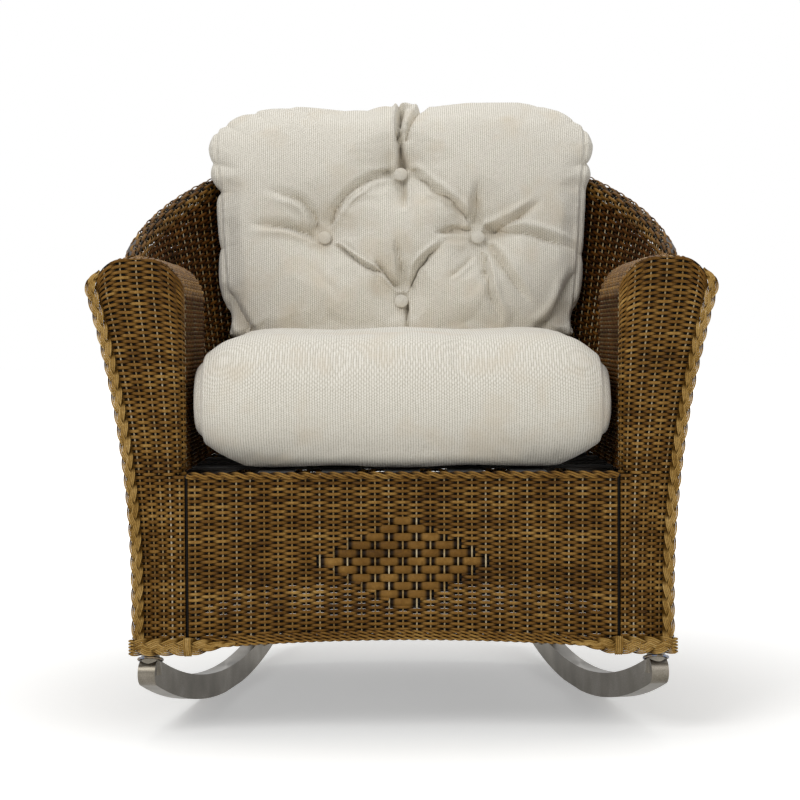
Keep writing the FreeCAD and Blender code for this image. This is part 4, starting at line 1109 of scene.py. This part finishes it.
def woven_cloth(name, across_mm, along_mm, cross):
    """Woven fabric: ribs along one thread, broken by the other, whose run is cross times (y, z)."""
    material, tree, shader, place = surface(
        name, Roughness=0.92, IOR=1.46, Sheen_Weight=0.25, Sheen_Roughness=0.5)
    axes = add_node(tree, "ShaderNodeSeparateXYZ", {0: place})
    wobble = noise(tree, place, WANDER_MM, Detail=1.0)
    drift = add_node(tree, "ShaderNodeMath", {0: wobble, 1: WANDER_BY_MM * MM}, operation="MULTIPLY")[0]
    panel = add_node(tree, "ShaderNodeAttribute", attribute_name="side")["Fac"]
    panel = add_node(tree, "ShaderNodeMath", {0: panel, 1: PANEL_FACING}, operation="GREATER_THAN")[0]
    turned_z = add_node(tree, "ShaderNodeMath", {0: axes["Z"], 1: cross[1]}, operation="MULTIPLY")[0]
    weft = add_node(tree, "ShaderNodeMath", {0: axes["Y"], 1: cross[0], 2: turned_z},
                    operation="MULTIPLY_ADD")[0]
    warp = add_node(tree, "ShaderNodeMix", {"Factor": panel, 2: axes["X"], 3: axes["Y"]})[0]
    weft = add_node(tree, "ShaderNodeMix", {"Factor": panel, 2: weft, 3: axes["Z"]})[0]
    warp = add_node(tree, "ShaderNodeMath", {0: warp, 1: drift}, operation="ADD")[0]
    turns = [
        add_node(tree, "ShaderNodeMath", {0: thread, 1: 2 * math.pi / (pitch * MM)}, operation="MULTIPLY")[0]
        for thread, pitch in ((warp, across_mm), (weft, along_mm))
    ]
    ribs, crossing = (add_node(tree, "ShaderNodeMath", {0: turn}, operation="COSINE")[0] for turn in turns)
    half = add_node(tree, "ShaderNodeMath", {0: turns[0], 1: 0.5}, operation="MULTIPLY")[0]
    flip = add_node(tree, "ShaderNodeMath", {0: half}, operation="COSINE")[0]
    sign = add_node(tree, "ShaderNodeMath", {0: flip}, operation="SIGN")[0]
    crossed = add_node(tree, "ShaderNodeMath", {0: crossing, 1: sign}, operation="MULTIPLY")[0]
    crossed = add_node(tree, "ShaderNodeMath", {0: crossed, 1: WEFT_SHARE}, operation="MULTIPLY")[0]
    cloth = add_node(tree, "ShaderNodeMath", {0: ribs, 1: crossed}, operation="ADD")[0]
    fleck = noise(tree, place, FLECK_MM, Detail=2.0)
    uneven = add_node(tree, "ShaderNodeMath", {0: fleck, 1: FLECK_SHARE}, operation="MULTIPLY")[0]
    height = add_node(tree, "ShaderNodeMath", {0: cloth, 1: uneven}, operation="ADD")[0]
    low, high = CLOTH_RANGE
    share = add_node(tree, "ShaderNodeMapRange", {"Value": height, "From Min": low, "From Max": high})[0]
    tone = ramp(tree, share, ((0, "#aea798"), (0.35, "#d5cfc1"), (0.7, "#e5e0d4"), (1, "#f2eee5")))
    patch = noise(tree, place, PATCH_MM, Detail=2.0)
    patch = add_node(tree, "ShaderNodeMapRange", {
        "Value": patch, "From Min": 0.5, "From Max": 0.75, "To Max": 0.5})[0]
    tone = add_node(tree, "ShaderNodeMix", {"Factor": patch, 6: tone, 7: colour("#d2c4ad")},
                    data_type="RGBA")[2]
    tree.links.new(tone, shader.inputs["Base Color"])
    relief(tree, shader, height, CLOTH_DEPTH_MM, 0.35)
    return material


# The rib spacing is drawn at 3.6 mm, about twice the real thread, so that it shows as in the photograph.
LEAN = (0.24, 0.97)
SEAT_CLOTH = woven_cloth("ivory_basket_weave_seat", 3.6, 3.4, (1.0, -1.0))
BACK_CLOTH = woven_cloth("ivory_basket_weave_back", 3.6, 3.4, LEAN)


def start_pad(name, voxel_mm, growth):
    """A cushion's filling as an even net that stands off it by its growth: (the piece, its points)."""
    pad = even_mesh(name, nodes[name + "_core"], voxel_mm)
    points = read_points(pad.data) + read_normals(pad.data) * growth
    write_points(pad.data, points)
    return pad, points


def cover_in(pad, cloth):
    """Marks the side panels and puts the cloth on."""
    mark_panels(pad.data)
    pad.data.materials.clear()
    pad.data.materials.append(cloth)


# Seat cushion: crowned, its front falling in one soft roll, a side panel sewn on at each end.
SEAT_VOXEL = 6.5
SEAT_GROWTH = 3.0
SEAT_HELD = 4.0
SEAT_REACH = ((2, 3, 1), (2, 3, 9))
# The side seam's place at its middle height, and how it bows out above and below.
SEAT_SEAM_X = 286.0
SEAT_SEAM_Z = 470.0
SEAT_SEAM_BOW = 0.00006


def seat_pad():
    """The seat cushion."""
    pad, points = start_pad("seat_cushion", SEAT_VOXEL, SEAT_GROWTH)
    swell(pad, points[:, 2] < points[:, 2].min() + SEAT_HELD, SEAT_REACH)
    refined(pad)
    points = read_points(pad.data)
    normals = read_normals(pad.data)
    for side in (-1, 1):
        gap = np.abs(points[:, 0] * side - SEAT_SEAM_X - SEAT_SEAM_BOW * (points[:, 2] - SEAT_SEAM_Z)**2)
        points -= normals * seam(gap, 2.6, 3.2, 0.9, 7)[:, None]
    points[:, 0] = np.clip(points[:, 0], 1 - OPENING_HALF, OPENING_HALF - 1)
    points[:, 2] = np.maximum(points[:, 2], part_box("seat_cushion_cover")[0][2] / MM)
    write_points(pad.data, points)
    cover_in(pad, SEAT_CLOTH)
    settle(pad, "seat_cushion", "cushion_fabric", "seat_cushion_cover", "seat_cushion_core")


# Back cushion: tufted in a diamond. Its folds' routes are (x, z) in millimetres on its front, each with its
# depth, its width, and where its end starts to fade and how much of it shows at its start.
LEAN_BACK = np.array([0.0, 0.97003, -0.243])
LEAN_UP = np.array([0.0, 0.243, 0.97003])
BACK_FOOT = np.array([0.0, 127.5, 567.7])
BACK_HEIGHT = 418.0
FOLDS = (
    (((2, 857), (-1, 896), (-3, 939), (2, 975)), 19, 7, (0.98, 1.0)),
    (((6, 896), (19, 944), (40, 975)), 8, 6, (0.95, 0.2)),
    (((-15, 848), (-52, 836), (-88, 814), (-112, 782), (-128, 748)), 9, 9, (0.9, 1.0)),
    (((-60, 822), (-88, 800), (-104, 776)), 4, 5, (0.6, 0.4)),
    (((22, 846), (52, 822), (84, 796), (125, 758)), 9, 9, (0.9, 0.8)),
    (((2, 838), (4, 806), (4, 776)), 8, 8, (0.5, 1.0)),
    (((-145, 739), (-172, 749), (-205, 757), (-272, 759)), 11, 10, (0.45, 1.0)),
    (((-142, 751), (-152, 778), (-178, 803), (-246, 822)), 9, 10, (0.4, 1.0)),
    (((-109, 720), (-70, 692), (-25, 668)), 8, 4, (0.85, 0.6)),
    (((-4, 650), (-24, 672), (-50, 703)), 10, 7, (0.5, 1.0)),
    (((4, 650), (-2, 690), (-12, 742)), 7, 7, (0.5, 1.0)),
    (((14, 648), (26, 680), (46, 702), (80, 728)), 13, 7, (0.55, 1.0)),
    (((8, 620), (10, 600), (11, 572)), 9, 4, (0.8, 1.0)),
    (((129, 758), (130, 790), (134, 842)), 10, 12, (0.4, 1.0)),
    (((149, 746), (197, 768), (246, 800)), 9, 9, (0.5, 1.0)),
    (((149, 744), (210, 744), (262, 728), (312, 708)), 9, 10, (0.6, 1.0)),
    (((120, 744), (90, 746), (52, 740)), 9, 7, (0.5, 1.0)),
    (((149, 718), (180, 676), (226, 607)), 8, 10, (0.5, 0.7)),
    (((139, 700), (151, 640), (173, 578)), 10, 9, (0.5, 0.8)),
    (((120, 700), (100, 680), (76, 660)), 4, 6, (0.5, 0.8)),
    (((-262, 575), (-288, 610), (-306, 660)), 8, 12, (0.6, 1.0)),
    (((240, 575), (272, 610), (306, 690)), 8, 14, (0.6, 1.0)),
)
# Where the gathered edge is pulled in: (x, z, how far, how wide).
PUCKERS = (
    (-262, 962, 10, 13), (-212, 985, 6, 12), (-64, 985, 7, 18), (46, 990, 12, 7), (262, 985, 8, 18),
    (338, 868, 13, 10), (-322, 866, 11, 10), (-326, 818, 9, 10), (-318, 716, 6, 18), (326, 700, 6, 20),
    (-296, 930, 6, 9), (318, 948, 5, 10),
)
# How far the top and the upper corners stand over the filling's own outline.
TOP_RISE = (
    (-300, 10), (-240, 16), (-180, 20), (-98, 10), (-60, 14), (10, 25), (60, 17), (120, 24), (200, 26),
    (240, 20), (300, 12),
)
CORNER_REACH = ((820, 6), (860, 14), (900, 26), (940, 30), (980, 30))
TOP_RISE_FROM = 0.6
CORNER_FROM_Z = 815.0
CORNER_FADE = 30.0
# Half the cushion's breadth up its height, by share of it, and how far inside that the front panel is sewn.
BACK_OUTLINE = ((0, 302), (0.17, 309), (0.45, 320), (0.65, 325), (0.8, 333), (0.9, 334))
BACK_HALF = 325.0
SEAM_INSET = 12.0
BACK_VOXEL = 6.0
BACK_GROWTH = 3.2
BACK_REACH = ((2, 12, 1), (2, 2, 12))
# The cloth is held this far round a button, and puckers run in this deep, towards this place.
BUTTON_HOLD = 14.0
PUCKER_REACH = 34.0
PUCKER_MIDDLE = np.array([0.0, 775.0])


def back_pad():
    """The back cushion, its buttons pulled in by the twine."""
    pad, points = start_pad("back_cushion", BACK_VOXEL, BACK_GROWTH)
    held = np.zeros(len(points), bool)
    for name in nodes:
        if "front_button" not in name:
            continue
        low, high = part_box(name)
        apart = points - np.array((Vector(low) + Vector(high)) / 2 / MM)
        level = apart - (apart @ LEAN_BACK)[:, None] * LEAN_BACK
        held |= np.linalg.norm(level, axis=1) < BUTTON_HOLD
    swell(pad, held, BACK_REACH)
    refined(pad)
    points = read_points(pad.data)
    normals = read_normals(pad.data)
    up = (points - BACK_FOOT) @ LEAN_UP / BACK_HEIGHT
    rise = from_table(points[:, 0], TOP_RISE) * smooth((up - TOP_RISE_FROM) / (1 - TOP_RISE_FROM))
    points = points + rise[:, None] * LEAN_UP
    reach = from_table(points[:, 2], CORNER_REACH) * smooth((points[:, 2] - CORNER_FROM_Z) / CORNER_FADE)
    outer = smooth((np.abs(points[:, 0]) - 0.45 * BACK_HALF) / (0.5 * BACK_HALF))
    points[:, 0] += reach * np.sign(points[:, 0]) * outer
    flat = points[:, (0, 2)]
    for x, z, depth, width in PUCKERS:
        inwards = PUCKER_MIDDLE - (x, z)
        inwards = inwards / np.linalg.norm(inwards)
        apart = flat - (x, z)
        sideways = apart @ np.array([-inwards[1], inwards[0]])
        deep = np.clip(apart @ inwards, 0, None)
        pull = depth * np.exp(-np.abs(sideways) / width) * np.exp(-(deep / PUCKER_REACH)**2)
        points[:, 0] += pull * inwards[0]
        points[:, 2] += pull * inwards[1]
    facing = -(normals @ LEAN_BACK)
    weight = smooth((facing + 0.45) / 0.6)
    flat = points[:, (0, 2)]
    for route, depth, width, fade in FOLDS:
        points = crease(points, flat, weight, -normals, route, depth, width, fade)
    gap = np.abs(np.abs(points[:, 0]) - (from_table(up, BACK_OUTLINE) - SEAM_INSET))
    sewn = weight * smooth((facing + 0.2) / 0.4)
    points -= normals * (sewn * seam(gap, 2.4, 3.0, 1.0, 6))[:, None]
    write_points(pad.data, points)
    cover_in(pad, BACK_CLOTH)
    settle(pad, "back_cushion", "cushion_fabric", "back_cushion_cover", "back_cushion_core")


seat_pad()
back_pad()


# Carried-over nodes: their real finishes.
RUNNER_HUB_Y = -15.1
RUNNER_HUB_Z = 1200.0
RUNNER_TOP_RADIUS = 1163.0
BEAD_WIDTH = 3.4
BEAD_STAND = 0.4
BEAD_RIPPLE = 0.22
BEAD_RIPPLES = 17
GRAIN_MM = 0.9
GRAIN_STRETCH = 0.02
WEBBING_RIB_MM = 2.2


def brushed_metal():
    """Brushed aluminium flat bar, a clear warm grey: fine lines run along the curve and stretch the light."""
    material, tree, shader, place = surface(
        "brushed_aluminium_bar", Metallic=1.0, Roughness=0.34, Anisotropic=0.4)
    hub = (0, RUNNER_HUB_Y * MM, RUNNER_HUB_Z * MM)
    from_hub = add_node(tree, "ShaderNodeVectorMath", {0: place, 1: hub}, operation="SUBTRACT")[0]
    axes = add_node(tree, "ShaderNodeSeparateXYZ", {0: from_hub})
    upright = add_node(tree, "ShaderNodeCombineXYZ", {"Y": axes["Y"], "Z": axes["Z"]})[0]
    radius = add_node(tree, "ShaderNodeVectorMath", {0: upright}, operation="LENGTH")["Value"]
    along = add_node(tree, "ShaderNodeMath", {0: axes["Y"], 1: GRAIN_STRETCH}, operation="MULTIPLY")[0]
    lines = add_node(tree, "ShaderNodeCombineXYZ", {"X": axes["X"], "Y": radius, "Z": along})[0]
    grain = noise(tree, lines, GRAIN_MM, Detail=4.0, Roughness=0.6)
    cloud = noise(tree, place, 60, Detail=2.0)
    both = add_node(tree, "ShaderNodeMath", {0: grain, 1: cloud}, operation="ADD")[0]
    share = add_node(tree, "ShaderNodeMapRange", {"Value": both, "From Min": 0.6, "From Max": 1.4})[0]
    tone = ramp(tree, share, ((0, "#4d473d"), (0.5, "#756f64"), (1, "#98928a")))
    tree.links.new(tone, shader.inputs["Base Color"])
    rough = add_node(tree, "ShaderNodeMapRange", {"Value": grain, "To Min": 0.26, "To Max": 0.46})[0]
    tree.links.new(rough, shader.inputs["Roughness"])
    relief(tree, shader, grain, 0.05, 0.25)
    return material


def coated_metal():
    """Powder coat over steel tube: dark brown, an even satin with the fine orange peel of cured powder."""
    material, tree, shader, place = surface("brown_powder_coat", Roughness=0.5, IOR=1.5)
    peel = noise(tree, place, 1.6, Detail=2.0)
    cloud = noise(tree, place, 70, Detail=3.0)
    tone = ramp(tree, cloud, ((0.3, "#1f1710"), (0.7, "#2b2117")))
    tree.links.new(tone, shader.inputs["Base Color"])
    relief(tree, shader, peel, 0.08, 0.4)
    return material


def strap_cloth():
    """Elastic seat webbing: near-black polyester with fine ribs across and a dull sheen."""
    material, tree, shader, place = surface(
        "elastic_polyester_webbing", Roughness=0.85, IOR=1.5, Sheen_Weight=0.15)
    axes = add_node(tree, "ShaderNodeSeparateXYZ", {0: place})
    total = add_node(tree, "ShaderNodeMath", {0: axes["X"], 1: axes["Y"]}, operation="ADD")[0]
    turn = add_node(tree, "ShaderNodeMath", {
        0: total, 1: 2 * math.pi / (WEBBING_RIB_MM * MM)}, operation="MULTIPLY")[0]
    rib = add_node(tree, "ShaderNodeMath", {0: turn}, operation="SINE")[0]
    cloud = noise(tree, place, 18, Detail=3.0)
    tone = ramp(tree, cloud, ((0.3, "#15120f"), (0.7, "#241e19")))
    tree.links.new(tone, shader.inputs["Base Color"])
    relief(tree, shader, rib, 0.3, 0.5)
    return material


def dress(material, *words):
    """Gives a material to every carried-over node whose name holds one of the words."""
    for name, item in nodes.items():
        if not any(word in name for word in words):
            continue
        if not item.material_slots:
            item.data.materials.append(material)
        for held in item.material_slots:
            held.material = material


def weld_beads():
    """A rippled weld bead round the foot of each leg stub."""
    beads = []
    for name in nodes:
        if "leg_stub" not in name:
            continue
        low, high = (np.array(corner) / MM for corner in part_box(name))
        turn = np.linspace(0, 2 * math.pi, 121)
        reach_x = (high[0] - low[0]) / 2 + BEAD_STAND
        reach_y = (high[1] - low[1]) / 2 + BEAD_STAND
        x = (low[0] + high[0]) / 2 + reach_x * np.cos(turn)
        y = (low[1] + high[1]) / 2 + reach_y * np.sin(turn)
        z = RUNNER_HUB_Z - np.sqrt(RUNNER_TOP_RADIUS**2 - (y - RUNNER_HUB_Y)**2) + BEAD_WIDTH / 3
        z = np.maximum(z, RUNNER_HUB_Z - RUNNER_TOP_RADIUS)
        facing = unit(stack(np.cos(turn), np.sin(turn), 0))
        ripple = 1 + BEAD_RIPPLE * np.abs(np.sin(BEAD_RIPPLES * turn))
        lay_strand(beads, stack(x, y, z), facing, PLAIN_TINT, width=ripple)
    return beads


def heated_metal():
    """Weld metal: bright ripples with a straw to blue heat tint."""
    material, tree, shader, place = surface("weld_bead_heat_tint", Metallic=1.0, Roughness=0.3)
    tint = noise(tree, place, 9, Detail=2.0)
    tone = ramp(tree, tint, ((0.3, "#5c564e"), (0.48, "#8c7a62"), (0.56, "#66748f"), (0.7, "#9a958d")))
    tree.links.new(tone, shader.inputs["Base Color"])
    relief(tree, shader, noise(tree, place, 1.0, Detail=2.0), 0.1, 0.5)
    return material


woven_piece("leg_weld_beads", weld_beads(), "runner_metal", **round_reed(BEAD_WIDTH, heated_metal()))
BUTTON_CLOTH = woven_cloth("ivory_button_cloth", 1.8, 1.7, LEAN)
TWINE = strand_material("waxed_twine", ((0, "#cfc7b4"), (1, "#e9e3d4")), 0.7, 3)
dress(brushed_metal(), "runner", "leg_stub")
dress(coated_metal(), "rail", "post", "upright", "rim_tube", "rear_bow")
dress(strap_cloth(), "webbing")
dress(BUTTON_CLOTH, "button")
dress(TWINE, "tuft_twine")


# Stage: a pale floor and soft studio lamps, in metres and watts.
FLOOR_HALF = 30.0
LAMP_AIM = (0, 0, 0.45)
CAMERA_PLACE = (-0.003, -3.2355, 0.567)
CAMERA_LENS = 90.0
CAMERA_DROP_DEGREES = 1.86
CAMERA_ROLL_DEGREES = -0.25


def stage():
    """Floor, lamps, world and camera."""
    floor_mesh = bpy.data.meshes.new("studio_floor")
    corners = [(x * FLOOR_HALF, y * FLOOR_HALF, 0) for x, y in ((-1, -1), (1, -1), (1, 1), (-1, 1))]
    floor_mesh.from_pydata(corners, [], [(0, 1, 2, 3)])
    floor = bpy.data.objects.new("studio_floor", floor_mesh)
    bpy.context.scene.collection.objects.link(floor)
    material, tree, shader, place = surface(
        "seamless_paper_floor", Base_Color=colour("#f2f2f0"), Roughness=0.9, Specular_IOR_Level=0.0)
    floor_mesh.materials.append(material)
    # Painted light: for the camera and in reflections the floor glows, more the farther it is from the chair,
    # so it fades into the white world.
    rays = add_node(tree, "ShaderNodeLightPath")
    seen = add_node(tree, "ShaderNodeMath", {
        0: rays["Is Camera Ray"], 1: rays["Is Glossy Ray"]}, operation="MAXIMUM")[0]
    reach_out = add_node(tree, "ShaderNodeVectorMath", {0: place}, operation="LENGTH")["Value"]
    far = add_node(tree, "ShaderNodeMapRange", {
        "Value": reach_out, "From Min": 0.5, "From Max": 2.2, "To Min": 0.36, "To Max": 1.0})[0]
    painted_floor_glow = add_node(tree, "ShaderNodeEmission", {"Color": colour("#ffffff"), "Strength": far})[0]
    both = add_node(tree, "ShaderNodeAddShader", {0: shader.outputs[0], 1: painted_floor_glow})[0]
    shown = add_node(tree, "ShaderNodeMixShader", {0: seen, 1: shader.outputs[0], 2: both})[0]
    tree.links.new(shown, tree.nodes["Material Output"].inputs["Surface"])

    world = bpy.data.worlds.new("studio")
    bpy.context.scene.world = world
    world.use_nodes = True
    tree = world.node_tree
    rays = add_node(tree, "ShaderNodeLightPath")
    seen = add_node(tree, "ShaderNodeMath", {
        0: rays["Is Camera Ray"], 1: rays["Is Glossy Ray"]}, operation="MAXIMUM")[0]
    strength = add_node(tree, "ShaderNodeMapRange", {"Value": seen, "To Min": 0.42, "To Max": 1.0})[0]
    tree.links.new(strength, tree.nodes["Background"].inputs["Strength"])
    tree.nodes["Background"].inputs["Color"].default_value = (1, 1, 1, 1)

    for name, place, size, power in (
        ("key_softbox", (-1.6, -2.6, 2.4), 1.6, 42),
        ("fill_softbox", (2.2, -2.4, 1.6), 1.8, 14),
        ("top_softbox", (0.0, 0.4, 3.0), 2.0, 24),
    ):
        lamp = bpy.data.lights.new(name, "AREA")
        lamp.size = size
        lamp.energy = power
        item = bpy.data.objects.new(name, lamp)
        item.location = place
        item.rotation_euler = (Vector(LAMP_AIM) - Vector(place)).to_track_quat("-Z", "Y").to_euler()
        bpy.context.scene.collection.objects.link(item)

    view = bpy.data.cameras.new("front_camera")
    view.sensor_width = 36
    view.lens = CAMERA_LENS
    camera = bpy.data.objects.new("front_camera", view)
    camera.location = CAMERA_PLACE
    drop = Matrix.Rotation(math.radians(90 - CAMERA_DROP_DEGREES), 3, "X")
    roll = Matrix.Rotation(math.radians(CAMERA_ROLL_DEGREES), 3, "Z")
    camera.rotation_euler = (drop @ roll).to_euler()
    bpy.context.scene.collection.objects.link(camera)
    bpy.context.scene.camera = camera
    bpy.context.scene.view_settings.view_transform = "Standard"


stage()
